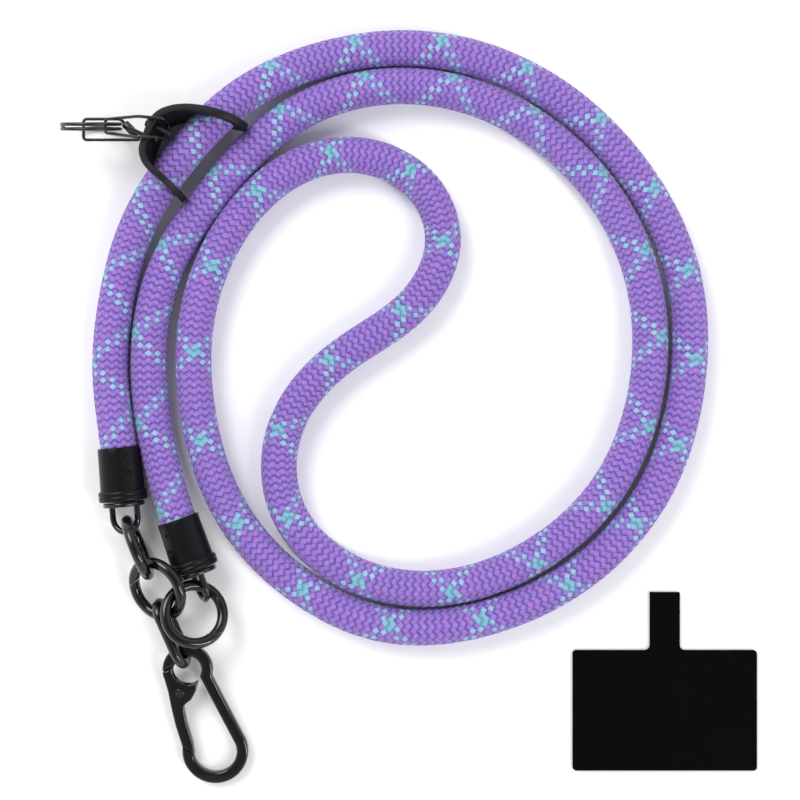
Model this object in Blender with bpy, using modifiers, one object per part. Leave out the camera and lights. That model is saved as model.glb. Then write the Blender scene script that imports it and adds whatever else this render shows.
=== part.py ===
"""Phone crossbody strap: a round braided rope ending in two metal cups, joined by
spring gate rings to a pear-shaped carabiner, with a folded slider strip, a small
hanging chain and a flat tether patch. Metres, +Z up, lying on the surface z = 0."""
import math

import bmesh
import bpy
import numpy as np
from mathutils import Matrix, Vector

MM = 0.001

# Clearances
FIT = 0.32 * MM
HINGE_PLAY = 0.3 * MM

# Rope
ROPE_DIAMETER = 11.4 * MM
ROPE_POINTS = 80
ROPE_IN_CUP = 13.5 * MM

# Rope ends: mouth of each cup, and the direction from its mouth to its base
CUP_1_MOUTH = (-96.3 * MM, 0.7 * MM, 8.0 * MM)
CUP_2_MOUTH = (-76.9 * MM, -22.8 * MM, 8.0 * MM)
CUP_1_AIM = (0.096, -0.995, 0.0)
CUP_2_AIM = (0.327, -0.945, 0.0)

# The rope's route between the cups, along its centre, in millimetres
ROUTE_MM = [
    (-99.3, 25.5, 6.0), (-97.5, 47.5, 6.0), (-90.7, 72.1, 7.2), (-74.4, 97.0, 11.0),
    (-53.9, 116.8, 9.0), (-26.3, 129.1, 6.0), (2.7, 131.9, 6.0), (42.8, 119.2, 6.0),
    (72.7, 91.6, 6.0), (88.9, 58.7, 6.0), (90.5, 20.2, 6.0), (80.7, -11.8, 6.0),
    (59.3, -37.8, 6.0), (28.4, -54.3, 6.0), (-9.3, -57.6, 6.0), (-36.2, -45.5, 6.0),
    (-59.9, -20.0, 6.0), (-70.7, 12.9, 6.0), (-71.1, 41.9, 6.0), (-59.9, 72.1, 6.0),
    (-40.2, 91.7, 6.0), (-20.4, 97.0, 6.0), (3.6, 86.3, 6.0), (10.2, 69.0, 6.0),
    (1.4, 48.6, 6.0), (-23.6, 30.2, 6.0), (-42.5, 4.4, 6.0), (-40.7, -20.7, 6.0),
    (-21.2, -40.1, 6.0), (6.0, -45.9, 6.0), (40.3, -35.2, 6.0), (64.9, -12.3, 6.0),
    (77.3, 20.2, 6.0), (74.3, 62.2, 6.0), (49.0, 99.4, 6.0), (15.8, 117.2, 6.0),
    (-13.8, 118.9, 6.0), (-40.2, 109.1, 6.0), (-64.8, 84.8, 6.0), (-81.0, 59.4, 6.0),
    (-86.7, 29.4, 6.0), (-83.8, 1.7, 6.4),
]

# End cups
CUP_LENGTH = 17.6 * MM
CUP_WALL = 0.85 * MM
CUP_FLOOR = 2.6 * MM
CUP_FLARE = 0.35 * MM
COLLAR_LENGTH = 3.6 * MM
COLLAR_PROUD = 0.75 * MM
DISC_THICKNESS = 1.5 * MM
DISC_INSET = 0.3 * MM

# U loops on the cups
LOOP_WIRE = 2.0 * MM
LOOP_WIDTH = 11.5 * MM
LOOP_1_REACH = 8.55 * MM
LOOP_2_REACH = 8.55 * MM
LOOP_1_ROLL = -23.1
LOOP_2_ROLL = -66.6

# Spring gate rings
RING_OUTER = 22.6 * MM
RING_WIRE = 3.6 * MM
RING_CUT_TURN = 6.0
RING_STEPS = 30
RING_1_PLACE = (-89.47 * MM, -31.94 * MM, 11.30 * MM)
RING_2_PLACE = (-83.16 * MM, -45.56 * MM, 10.86 * MM)
RING_3_PLACE = (-70.96 * MM, -53.56 * MM, 11.70 * MM)
RING_1_LEAN = (-158.2, 85.1)
RING_2_LEAN = (212.7, 36.4)
RING_3_LEAN = (38.4, 25.8)
RING_1_GATE = (55.0, 125.0)
RING_2_GATE = (255.0, 180.0)
RING_3_GATE = (34.0, -38.0)

# Joining link
LINK_LENGTH = 25.0 * MM
LINK_WIDTH = 12.8 * MM
LINK_WIRE = 3.4 * MM
LINK_PLACE = (-78.93 * MM, -60.45 * MM, 7.15 * MM)
LINK_LEAN = (-158.0, 99.6, -6.0)

# Carabiner
CARABINER_BAR = 3.8 * MM
CARABINER_THICKNESS = 3.3 * MM
CARABINER_EDGE = 0.7 * MM
CARABINER_TILT = 5.7
CARABINER_PLACE = (-65.1 * MM, -99.9 * MM, 2.85 * MM)
HEAD_CENTRE = (-8.75 * MM, 27.6 * MM)
HEAD_OUTER = 8.3 * MM
FOOT_OUTER = 10.9 * MM
GATE_SPLIT = 0.35 * MM
RIVET_PLACE = (-11.2 * MM, 20.0 * MM)
RIVET_DIAMETER = 1.9 * MM
RIVET_HEAD = 3.0 * MM
RIVET_HEAD_HEIGHT = 0.4 * MM
LUG_THICKNESS = 1.2 * MM
LUG_RADIUS = 3.0 * MM
LUG_NECK = 1.9 * MM

# Slider strip: its centreline seen from above, in millimetres
STRIP_PATH_MM = [
    (-53.8, 105.2), (-64.1, 108.7), (-68.9, 109.6), (-73.9, 109.8), (-77.9, 109.1),
    (-81.1, 107.6), (-83.6, 104.6), (-85.3, 100.2), (-86.3, 96.9), (-85.9, 93.9),
    (-84.3, 91.2), (-81.4, 88.6), (-74.2, 81.4),
]
STRIP_HEIGHT = 22.0 * MM
STRIP_THICKNESS = 2.2 * MM
STRIP_SLICE = 2.4 * MM
STRIP_LIFT = 0.1 * MM

# Fittings in the strip
CONNECTOR_AT = 0.585
CONNECTOR_HEIGHT = 12.2 * MM
CONNECTOR_SHAFT = 1.4 * MM
SLEEVE_OUTER = 2.8 * MM
SLEEVE_LENGTH = 5.5 * MM
SMALL_HEAD = 3.2 * MM
SMALL_HEAD_HEIGHT = 0.8 * MM
STUD_AT = 0.53
STUD_HEIGHT = 18.6 * MM
STUD_SHAFT = 1.3 * MM
STUD_BARREL = 2.4 * MM
STUD_BARREL_LENGTH = 5.2 * MM

# Small chain
SMALL_WIRE = 1.0 * MM
SPLIT_OUTER = 20.2 * MM
SPLIT_WIRE = 1.2 * MM
SPLIT_TURNS = 1.9
SPLIT_PLACE = (-104.8 * MM, 105.6 * MM, 10.25 * MM)
SPLIT_LEAN = 10.0
LINK_A_MM = [(-107.3, 108.0, 10.4), (-95.2, 108.0, 10.4), (-88.7, 101.2, 10.4), (-107.3, 101.2, 10.4)]
LINK_B_MM = [
    (-99.4, 102.8, 14.4), (-99.4, 107.2, 14.4), (-87.5, 106.6, 23.2), (-79.3, 105.9, 23.2),
    (-78.6, 105.1, 16.5), (-78.6, 100.4, 16.5), (-81.6, 100.0, 23.2), (-88.0, 100.0, 23.2),
]

# Tether patch
PATCH_THICKNESS = 1.2 * MM
PATCH_LEFT = 53.5 * MM
PATCH_RIGHT = 114.86 * MM
PATCH_BOTTOM = -107.1 * MM
PATCH_TOP = -67.0 * MM
PATCH_CORNER = 1.2 * MM
TAB_LEFT = 79.2 * MM
TAB_RIGHT = 89.2 * MM
TAB_TOP = -47.7 * MM
TAB_FILLET = 1.7 * MM


def clear_scene():
    for item in list(bpy.data.objects):
        bpy.data.objects.remove(item, do_unlink=True)


def new_collection(name):
    group = bpy.data.collections.new(name)
    bpy.context.scene.collection.children.link(group)
    return group


def new_material(name, colour, roughness, metallic):
    material = bpy.data.materials.new(name)
    material.use_nodes = True
    shader = material.node_tree.nodes["Principled BSDF"]
    shader.inputs["Base Color"].default_value = (*colour, 1.0)
    shader.inputs["Roughness"].default_value = roughness
    shader.inputs["Metallic"].default_value = metallic
    return material


def smooth_line(points, count):
    """Even points along a natural cubic spline through the given points."""
    p = np.array(points, float)
    s = np.concatenate([[0], np.cumsum(np.linalg.norm(np.diff(p, axis=0), axis=1))])
    n = len(p)
    h = np.diff(s)
    a = np.eye(n)
    b = np.zeros_like(p)
    for i in range(1, n - 1):
        a[i, i - 1] = h[i - 1]
        a[i, i] = 2 * (h[i - 1] + h[i])
        a[i, i + 1] = h[i]
        b[i] = 6 * ((p[i + 1] - p[i]) / h[i] - (p[i] - p[i - 1]) / h[i - 1])
    m = np.linalg.solve(a, b)
    fine = []
    for i in range(n - 1):
        for t in np.arange(24) / 24 * h[i]:
            u = h[i] - t
            bend = (m[i] * u ** 3 + m[i + 1] * t ** 3) / (6 * h[i])
            fine.append(bend + (p[i] / h[i] - m[i] * h[i] / 6) * u + (p[i + 1] / h[i] - m[i + 1] * h[i] / 6) * t)
    fine = np.array(fine + [p[-1]])
    arc = np.concatenate([[0], np.cumsum(np.linalg.norm(np.diff(fine, axis=0), axis=1))])
    at = np.linspace(0, arc[-1], count)
    return np.stack([np.interp(at, arc, fine[:, k]) for k in range(p.shape[1])], 1)


def arc(centre, radius, start, end, steps):
    """Points of an arc in the plane, from one angle to another in degrees."""
    found = []
    for k in range(steps + 1):
        angle = math.radians(start + (end - start) * k / steps)
        found.append((centre[0] + radius * math.cos(angle), centre[1] + radius * math.sin(angle)))
    return found


def polar(centre, radius, degrees):
    return arc(centre, radius, degrees, degrees, 1)[0]


def rounded(corners, radius, steps, closed=True):
    """The corners of a line in space, each replaced by a short smooth bend."""
    found = []
    count = len(corners)
    for k in range(count):
        here = Vector(corners[k])
        if not closed and k in (0, count - 1):
            found.append(here)
            continue
        before = Vector(corners[k - 1])
        after = Vector(corners[(k + 1) % count])
        r1 = min(radius, (before - here).length * 0.45)
        r2 = min(radius, (after - here).length * 0.45)
        start = here + (before - here).normalized() * r1
        end = here + (after - here).normalized() * r2
        for j in range(steps + 1):
            t = j / steps
            found.append(start * (1 - t) ** 2 + here * 2 * t * (1 - t) + end * t * t)
    return found


def leaning(place, lean):
    """Matrix of a flat piece: its normal tilted from +Z toward a compass angle, in degrees."""
    yaw, tilt = math.radians(lean[0]), math.radians(lean[1])
    normal = Vector((math.sin(tilt) * math.cos(yaw), math.sin(tilt) * math.sin(yaw), math.cos(tilt)))
    across = (Vector((1, 0, 0)) - normal * normal.x).normalized()
    return basis(place, across, normal.cross(across), normal)


def basis(place, x, y, z):
    matrix = Matrix((x, y, z)).transposed().to_4x4()
    matrix.translation = Vector(place)
    return matrix


def aimed(place, aim, roll=0.0):
    """Matrix whose -Z runs along aim, rolled about it; at no roll its X lies level."""
    z = -Vector(aim).normalized()
    x = z.cross(Vector((0, 0, 1)))
    x = Matrix.Rotation(math.radians(roll), 3, z) @ x.normalized()
    return basis(place, x, z.cross(x), z)


def finish(obj, group, material, matrix=None):
    for user in list(obj.users_collection):
        user.objects.unlink(obj)
    group.objects.link(obj)
    obj.data.materials.clear()
    if material is not None:
        obj.data.materials.append(material)
    if matrix is not None:
        obj.matrix_world = matrix
    return obj


def as_cutter(obj):
    obj.hide_render = True
    obj.display_type = "WIRE"
    return obj


def mesh_of(curve_object):
    """The welded mesh of a curve object, which it then takes the place of."""
    bpy.context.view_layer.update()
    graph = bpy.context.evaluated_depsgraph_get()
    mesh = bpy.data.meshes.new_from_object(curve_object.evaluated_get(graph))
    shape = bmesh.new()
    shape.from_mesh(mesh)
    bmesh.ops.remove_doubles(shape, verts=shape.verts, dist=0.00001)
    bmesh.ops.recalc_face_normals(shape, faces=shape.faces)
    shape.to_mesh(mesh)
    shape.free()
    name = curve_object.name
    obj = bpy.data.objects.new(name + ".mesh", mesh)
    bpy.context.scene.collection.objects.link(obj)
    obj.matrix_world = curve_object.matrix_world.copy()
    data = curve_object.data
    bpy.data.objects.remove(curve_object, do_unlink=True)
    bpy.data.curves.remove(data)
    obj.name = name
    return obj


def wire(name, points, radius, closed=False, fineness=2):
    """A round wire along the points, as a welded mesh."""
    curve = bpy.data.curves.new(name, "CURVE")
    curve.dimensions = "3D"
    curve.bevel_depth = radius
    curve.bevel_resolution = fineness
    curve.use_fill_caps = not closed
    spline = curve.splines.new("POLY")
    spline.points.add(len(points) - 1)
    for slot, point in zip(spline.points, points):
        slot.co = (*point, 1.0)
    spline.use_cyclic_u = closed
    obj = bpy.data.objects.new(name, curve)
    bpy.context.scene.collection.objects.link(obj)
    return mesh_of(obj)


def plate(name, outline, thickness, edge=0.0):
    """A flat plate of the outline, centred on z = 0, with rounded edges if asked."""
    curve = bpy.data.curves.new(name, "CURVE")
    curve.dimensions = "2D"
    curve.fill_mode = "BOTH"
    curve.extrude = thickness / 2 - edge
    curve.bevel_depth = edge
    curve.bevel_resolution = 1
    curve.offset = -edge
    spline = curve.splines.new("POLY")
    spline.points.add(len(outline) - 1)
    for slot, point in zip(spline.points, outline):
        slot.co = (point[0], point[1], 0.0, 1.0)
    spline.use_cyclic_u = True
    obj = bpy.data.objects.new(name, curve)
    bpy.context.scene.collection.objects.link(obj)
    return mesh_of(obj)


def cylinder(name, radius, length, sides=20, matrix=None):
    bpy.ops.mesh.primitive_cylinder_add(vertices=sides, radius=radius, depth=length)
    obj = bpy.context.object
    obj.name = name
    if matrix is not None:
        obj.matrix_world = matrix
    return obj


def ball(name, radius):
    bpy.ops.mesh.primitive_uv_sphere_add(segments=20, ring_count=12, radius=radius)
    obj = bpy.context.object
    obj.name = name
    return obj


def turned(name, profile, sides=24):
    """A body turned about Z from a profile of (radius, z) points."""
    mesh = bpy.data.meshes.new(name)
    shape = bmesh.new()
    rows = [shape.verts.new((x, 0.0, z)) for x, z in profile]
    for k in range(len(rows) - 1):
        shape.edges.new((rows[k], rows[k + 1]))
    shape.to_mesh(mesh)
    shape.free()
    obj = bpy.data.objects.new(name, mesh)
    bpy.context.scene.collection.objects.link(obj)
    screw = obj.modifiers.new("Turn", "SCREW")
    screw.steps = sides
    screw.render_steps = sides
    screw.use_merge_vertices = True
    screw.merge_threshold = 0.00001
    return obj


def boolean(obj, other, operation):
    change = obj.modifiers.new(operation.title(), "BOOLEAN")
    change.operation = operation
    change.object = other
    change.solver = "EXACT"


def fixed(obj):
    """Apply the object's modifiers, so that what they used can be removed."""
    bpy.context.view_layer.update()
    graph = bpy.context.evaluated_depsgraph_get()
    mesh = bpy.data.meshes.new_from_object(obj.evaluated_get(graph))
    shape = bmesh.new()
    shape.from_mesh(mesh)
    bmesh.ops.recalc_face_normals(shape, faces=shape.faces)
    shape.to_mesh(mesh)
    shape.free()
    obj.modifiers.clear()
    obj.data = mesh
    return obj


def smooth(obj, degrees=35.0):
    obj.data.shade_smooth()
    obj.data.set_sharp_from_angle(angle=math.radians(degrees))


def cup_base(mouth, aim):
    return Vector(mouth) + Vector(aim).normalized() * CUP_LENGTH


def rope_line():
    """Points along the rope's centre, from inside one cup to inside the other."""
    ends = []
    for mouth, aim in ((CUP_1_MOUTH, CUP_1_AIM), (CUP_2_MOUTH, CUP_2_AIM)):
        mouth = Vector(mouth)
        ends.append((mouth, mouth + Vector(aim).normalized() * ROPE_IN_CUP))
    route = [ends[0][1], ends[0][0]]
    route += [Vector(point) * MM for point in ROUTE_MM]
    route += [ends[1][0], ends[1][1]]
    return smooth_line([tuple(point) for point in route], ROPE_POINTS)


def build_rope(group, material):
    obj = wire("rope", rope_line(), ROPE_DIAMETER / 2, fineness=3)
    smooth(obj, 60)
    finish(obj, group, material)


def rope_run(name, near, radius, reach):
    """A run of the rope's tube around a place, wider than the rope, to cut its way."""
    line = rope_line()
    centre = np.array(near)
    keep = [k for k in range(len(line)) if np.linalg.norm(line[k][:2] - centre[:2]) < reach]
    runs = []
    for k in keep:
        if runs and k == runs[-1][-1] + 1:
            runs[-1].append(k)
        else:
            runs.append([k])
    best = min(runs, key=lambda run: min(np.linalg.norm(line[k][:2] - centre[:2]) for k in run))
    return wire(name, [line[k] for k in best], radius, fineness=3)


def build_cups(group, hidden, cup_material, loop_material):
    bore = ROPE_DIAMETER / 2 + FIT
    outer = bore + CUP_WALL
    rim = outer + CUP_FLARE
    collar = rim + COLLAR_PROUD
    profile = [
        (0, -(CUP_LENGTH - CUP_FLOOR)), (bore, -(CUP_LENGTH - CUP_FLOOR)), (bore, -0.3 * MM),
        (bore + 0.3 * MM, 0), (outer - 0.25 * MM, 0), (outer, -0.25 * MM),
        (rim, -(CUP_LENGTH - COLLAR_LENGTH)), (collar, -(CUP_LENGTH - COLLAR_LENGTH + 0.6 * MM)),
        (collar, -(CUP_LENGTH - 0.5 * MM)), (collar - 0.5 * MM, -CUP_LENGTH), (0, -CUP_LENGTH),
    ]
    disc = collar - DISC_INSET - 0.8 * MM
    for number, mouth, aim, roll, reach in (
            (1, CUP_1_MOUTH, CUP_1_AIM, LOOP_1_ROLL, LOOP_1_REACH),
            (2, CUP_2_MOUTH, CUP_2_AIM, LOOP_2_ROLL, LOOP_2_REACH)):
        cup = turned(f"end_cap_{number}", profile)
        fixed(cup)
        smooth(cup)
        finish(cup, group, cup_material, aimed(mouth, aim))
        half = (LOOP_WIDTH - LOOP_WIRE) / 2
        straight = reach - half
        bend = [(half, 0.6 * MM), (half, -straight)]
        bend += arc((0, -straight), half, 0, -180, 12)[1:]
        bend += [(-half, 0.6 * MM)]
        loop = wire(f"cap_loop_{number}", [(x, 0, z - DISC_THICKNESS) for x, z in bend], LOOP_WIRE / 2)
        end = turned(f"loop_disc_{number}", [
            (0, 0), (disc - 0.3 * MM, 0), (disc, -0.3 * MM), (disc, -(DISC_THICKNESS - 0.3 * MM)),
            (disc - 0.3 * MM, -DISC_THICKNESS), (0, -DISC_THICKNESS)])
        fixed(end)
        base = cup_base(mouth, aim) + Vector(aim).normalized() * FIT
        place = aimed(base, aim, roll)
        finish(end, hidden, None, place)
        loop.matrix_world = place
        boolean(loop, end, "UNION")
        finish(loop, group, loop_material, place)
        as_cutter(end)
        smooth(loop)


def build_gate_ring(number, place, lean, gate, group, hidden, material):
    """A ring of round wire with a sprung gate: ball end at the hinge, cut end at the split."""
    radius = (RING_OUTER - RING_WIRE) / 2
    thick = RING_WIRE / 2
    hinge, free = gate
    turn = 1 if free > hinge else -1
    matrix = leaning(place, lean)
    pivot = Vector((*polar((0, 0), radius, hinge), 0))
    tip = Vector((*polar((0, 0), radius, free), 0))
    chord = (tip - pivot).normalized()
    cut = Matrix.Rotation(math.radians(-turn * RING_CUT_TURN), 3, "Z") @ chord
    over = 8.0
    steps = max(6, round(RING_STEPS * (360 - abs(free - hinge)) / 360))
    line = arc((0, 0), radius, free - turn * over, hinge + turn * 360, steps)
    body = wire(f"gate_ring_{number}", [(x, y, 0) for x, y in line], thick)
    socket = ball(f"socket_{number}", thick + HINGE_PLAY)
    finish(socket, hidden, None, matrix @ Matrix.Translation(pivot))
    side = Vector((-cut.y, cut.x, 0))
    block = basis(tip - cut * RING_WIRE, cut, side, Vector((0, 0, 1)))
    bpy.ops.mesh.primitive_cube_add(size=1)
    saw = bpy.context.object
    saw.name = f"saw_{number}"
    saw.data.transform(Matrix.Diagonal((RING_WIRE * 2, RING_WIRE * 2, RING_WIRE * 2, 1)))
    finish(saw, hidden, None, matrix @ block)
    finish(body, group, material, matrix)
    boolean(body, socket, "DIFFERENCE")
    boolean(body, saw, "DIFFERENCE")
    as_cutter(socket)
    as_cutter(saw)
    smooth(body, 50)
    part = max(5, round(RING_STEPS * abs(free - hinge) / 360))
    line = [(x - pivot.x, y - pivot.y, 0) for x, y in arc((0, 0), radius, hinge, free + turn * over, part)]
    leaf = wire(f"gate_ring_{number}_gate", line, thick)
    knuckle = ball(f"knuckle_{number}", thick)
    finish(knuckle, hidden, None, matrix @ Matrix.Translation(pivot))
    other = saw.copy()
    other.data = saw.data.copy()
    other.name = f"gate_saw_{number}"
    hidden.objects.link(other)
    far = basis(tip + cut * (RING_WIRE - HINGE_PLAY - 0.02 * MM), cut, side, Vector((0, 0, 1)))
    other.matrix_world = matrix @ far
    as_cutter(other)
    as_cutter(knuckle)
    finish(leaf, group, material, matrix @ Matrix.Translation(pivot))
    boolean(leaf, knuckle, "UNION")
    boolean(leaf, other, "DIFFERENCE")
    smooth(leaf, 50)
    return matrix, pivot


def build_joining_link(group, material):
    half = (LINK_WIDTH - LINK_WIRE) / 2
    straight = (LINK_LENGTH - LINK_WIRE) / 2 - half
    line = arc((straight, 0), half, -90, 90, 8) + arc((-straight, 0), half, 90, 270, 8)
    obj = wire("joining_link", [(x, y, 0) for x, y in line], LINK_WIRE / 2, closed=True)
    yaw, tilt, spin = (math.radians(angle) for angle in LINK_LEAN)
    normal = Vector((math.sin(tilt) * math.cos(yaw), math.sin(tilt) * math.sin(yaw), math.cos(tilt)))
    level = Vector((-math.sin(yaw), math.cos(yaw), 0))
    along = level * math.cos(spin) + normal.cross(level) * math.sin(spin)
    smooth(obj, 60)
    finish(obj, group, material, basis(LINK_PLACE, along, normal.cross(along), normal))


def carabiner_outlines():
    """Outlines of the frame, the gate and the hidden lug, seen from above."""
    head, foot = HEAD_CENTRE, (0.0, 0.0)
    head_inner = HEAD_OUTER - CARABINER_BAR
    foot_inner = FOOT_OUTER - CARABINER_BAR
    frame = arc(head, HEAD_OUTER, 184, -14, 22)
    frame += arc(foot, FOOT_OUTER, 24, -187, 24)
    frame += arc(foot, foot_inner, -170, 20, 20)
    frame += arc(head, head_inner, -30, 162, 16)
    spread = math.degrees(GATE_SPLIT / HEAD_OUTER)
    low_out = polar(foot, FOOT_OUTER + 0.1 * MM, -187)
    low_in = polar(foot, foot_inner, -170)
    away = Vector((low_out[0] - low_in[0], low_out[1] - low_in[1])).normalized()
    lift = Vector((-away.y, away.x)) * GATE_SPLIT
    lift = lift if lift.y > 0 else -lift
    low_out = (low_out[0] + lift.x - 0.1 * MM, low_out[1] + lift.y)
    low_in = (low_in[0] + lift.x, low_in[1] + lift.y)
    shoulder = (RIVET_PLACE[0] - 4.1 * MM, RIVET_PLACE[1] + 0.4 * MM)
    gate = [
        polar(head, HEAD_OUTER, 184 + spread * 1.05), polar(head, HEAD_OUTER, 192),
        polar(head, HEAD_OUTER, 202), shoulder,
        (shoulder[0] + 0.9 * MM, shoulder[1] - 5.0 * MM), (shoulder[0] + 2.3 * MM, shoulder[1] - 11.5 * MM),
        low_out, low_in,
        (low_in[0] - 0.5 * MM, low_in[1] + 4.0 * MM), (RIVET_PLACE[0] + 1.9 * MM, RIVET_PLACE[1] - 10.0 * MM),
        (RIVET_PLACE[0] + 1.0 * MM, RIVET_PLACE[1] - 4.9 * MM),
        (RIVET_PLACE[0] + 1.6 * MM, RIVET_PLACE[1] - 4.0 * MM), (RIVET_PLACE[0] + 3.6 * MM, RIVET_PLACE[1] - 2.4 * MM),
        (RIVET_PLACE[0] + 5.0 * MM, RIVET_PLACE[1] + 0.2 * MM),
        (RIVET_PLACE[0] + 5.9 * MM, RIVET_PLACE[1] + 3.6 * MM),
    ]
    gate += arc(head, head_inner + 0.45 * MM, -66, -184, 11)
    gate += [polar(head, head_inner, 162 + math.degrees(GATE_SPLIT / head_inner) * 1.1)]
    return frame, gate


def build_carabiner(group, hidden, material, pin_material):
    tilt = math.radians(CARABINER_TILT)
    matrix = basis(CARABINER_PLACE, Vector((1, 0, 0)), Vector((0, math.cos(tilt), math.sin(tilt))),
                   Vector((0, -math.sin(tilt), math.cos(tilt))))
    outline, gate_outline = carabiner_outlines()
    frame = plate("carabiner_frame", outline, CARABINER_THICKNESS, CARABINER_EDGE)
    rivet = Vector((*RIVET_PLACE, 0))
    middle = HEAD_OUTER - CARABINER_BAR / 2
    lug_outline = arc(HEAD_CENTRE, middle + LUG_NECK / 2, 168, 206, 6)
    lug_outline += arc(RIVET_PLACE, LUG_RADIUS, 180, 400, 18)
    lug_outline += arc(HEAD_CENTRE, middle - LUG_NECK / 2, 215, 156, 8)
    lug = plate("lug", lug_outline, LUG_THICKNESS)
    finish(lug, hidden, None, matrix)
    as_cutter(lug)
    hole = cylinder("rivet_hole", RIVET_DIAMETER / 2 + FIT, CARABINER_THICKNESS * 2, 20)
    finish(hole, hidden, None, matrix @ Matrix.Translation(rivet))
    as_cutter(hole)
    finish(frame, group, material, matrix)
    boolean(frame, lug, "UNION")
    boolean(frame, hole, "DIFFERENCE")
    smooth(frame, 40)
    local = [(x - rivet.x, y - rivet.y) for x, y in gate_outline]
    gate = plate("carabiner_gate", local, CARABINER_THICKNESS, CARABINER_EDGE)
    bpy.ops.mesh.primitive_cube_add(size=1)
    slot = bpy.context.object
    slot.name = "lug_slot"
    width, height = 11.0 * MM, 14.0 * MM
    slot.data.transform(Matrix.Diagonal((width, height, LUG_THICKNESS + 2 * FIT, 1)))
    corner = Matrix.Translation(rivet + Vector((LUG_RADIUS + FIT - width / 2, height / 2 - LUG_RADIUS - FIT, 0)))
    finish(slot, hidden, None, matrix @ corner)
    as_cutter(slot)
    finish(gate, group, material, matrix @ Matrix.Translation(rivet))
    boolean(gate, slot, "DIFFERENCE")
    boolean(gate, hole, "DIFFERENCE")
    smooth(gate, 40)
    top = CARABINER_THICKNESS / 2 + FIT
    pin = turned("gate_pin", [
        (0, top + RIVET_HEAD_HEIGHT), (RIVET_HEAD / 2 - 0.25 * MM, top + RIVET_HEAD_HEIGHT),
        (RIVET_HEAD / 2, top + 0.15 * MM), (RIVET_HEAD / 2, top), (RIVET_DIAMETER / 2, top),
        (RIVET_DIAMETER / 2, -(CARABINER_THICKNESS / 2)), (0, -(CARABINER_THICKNESS / 2))], 20)
    fixed(pin)
    smooth(pin)
    finish(pin, group, pin_material, matrix @ Matrix.Translation(rivet))
    return matrix, rivet


def strip_line():
    points = [(x * MM, y * MM) for x, y in STRIP_PATH_MM]
    return smooth_line(points, 121)


def strip_at(share):
    """Place, direction along and direction outward at a share of the strip's length."""
    line = strip_line()
    at = min(share * (len(line) - 1), len(line) - 1.001)
    k = int(at)
    place = line[k] + (line[k + 1] - line[k]) * (at - k)
    low, high = max(0, k - 1), min(len(line) - 1, k + 2)
    along = line[high] - line[low]
    along = along / np.linalg.norm(along)
    return place, along, np.array((along[1], -along[0]))


def build_strip(group, hidden, material):
    """A flat strip with round ends, bent along its path, with the rope's two holes."""
    line = strip_line()
    length = float(np.linalg.norm(np.diff(line, axis=0), axis=1).sum())
    half = STRIP_HEIGHT / 2
    outline = arc((half, 0), half, 270, 90, 12) + arc((length - half, 0), half, 90, -90, 12)
    blank = plate("slider_strip", outline, STRIP_THICKNESS)
    shape = bmesh.new()
    shape.from_mesh(blank.data)
    for at in np.arange(STRIP_SLICE, length - STRIP_SLICE / 2, STRIP_SLICE):
        everything = list(shape.verts) + list(shape.edges) + list(shape.faces)
        bmesh.ops.bisect_plane(shape, geom=everything, dist=0.000001, plane_co=(at, 0, 0), plane_no=(1, 0, 0))
    for vert in shape.verts:
        place, along, outward = strip_at(min(max(vert.co.x / length, 0.0), 1.0))
        side = place + outward * vert.co.z
        vert.co = (side[0], side[1], vert.co.y + half + STRIP_LIFT)
    bmesh.ops.recalc_face_normals(shape, faces=shape.faces)
    shape.to_mesh(blank.data)
    shape.free()
    finish(blank, group, material)
    for number, near in ((1, STRIP_PATH_MM[1]), (2, STRIP_PATH_MM[-2])):
        run = rope_run(f"strip_hole_{number}", [v * MM for v in near], ROPE_DIAMETER / 2 + FIT, 0.030)
        finish(run, hidden, None)
        as_cutter(run)
        boolean(blank, run, "DIFFERENCE")
    for name, share, height, shaft in (("connector_hole", CONNECTOR_AT, CONNECTOR_HEIGHT, CONNECTOR_SHAFT),
                                       ("stud_hole", STUD_AT, STUD_HEIGHT, STUD_SHAFT)):
        place, along, outward = strip_at(share)
        matrix = aimed((place[0], place[1], height), (-outward[0], -outward[1], 0))
        hole = cylinder(name, shaft / 2 + FIT, STRIP_THICKNESS * 3, 14)
        finish(hole, hidden, None, matrix)
        as_cutter(hole)
        boolean(blank, hole, "DIFFERENCE")
    smooth(blank, 40)


def build_connector(group, hidden, material):
    """A sleeve round the side of the lower wire link, with a shaft through the strip."""
    a = Vector(LINK_A_MM[1]) * MM
    b = Vector(LINK_A_MM[2]) * MM
    middle = (a + b) / 2
    direction = (b - a).normalized()
    level = Vector((-direction.y, direction.x, 0))
    matrix = basis(middle, level, direction.cross(level), direction)
    place, along, outward = strip_at(CONNECTOR_AT)
    wall = Vector((place[0], place[1], CONNECTOR_HEIGHT))
    out = Vector((outward[0], outward[1], 0))
    inner = wall - out * (STRIP_THICKNESS / 2 + FIT + SMALL_HEAD_HEIGHT)
    start = Vector((middle.x, middle.y, CONNECTOR_HEIGHT))
    line = [start, wall + out * 2.2 * MM, inner + out * 0.2 * MM]
    obj = wire("strip_connector", rounded(line, 1.2 * MM, 4, closed=False), CONNECTOR_SHAFT / 2)
    finish(obj, group, material)
    sleeve = cylinder("sleeve", SLEEVE_OUTER / 2, SLEEVE_LENGTH, 16)
    finish(sleeve, hidden, None, matrix)
    head = cylinder("inner_head", SMALL_HEAD / 2, SMALL_HEAD_HEIGHT, 16)
    finish(head, hidden, None, aimed(inner + out * SMALL_HEAD_HEIGHT / 2, out))
    bore = cylinder("sleeve_bore", SMALL_WIRE / 2 + FIT, SLEEVE_LENGTH * 2, 14)
    finish(bore, hidden, None, matrix)
    for piece in (sleeve, head, bore):
        as_cutter(piece)
    boolean(obj, sleeve, "UNION")
    boolean(obj, head, "UNION")
    boolean(obj, bore, "DIFFERENCE")
    smooth(obj)


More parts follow.
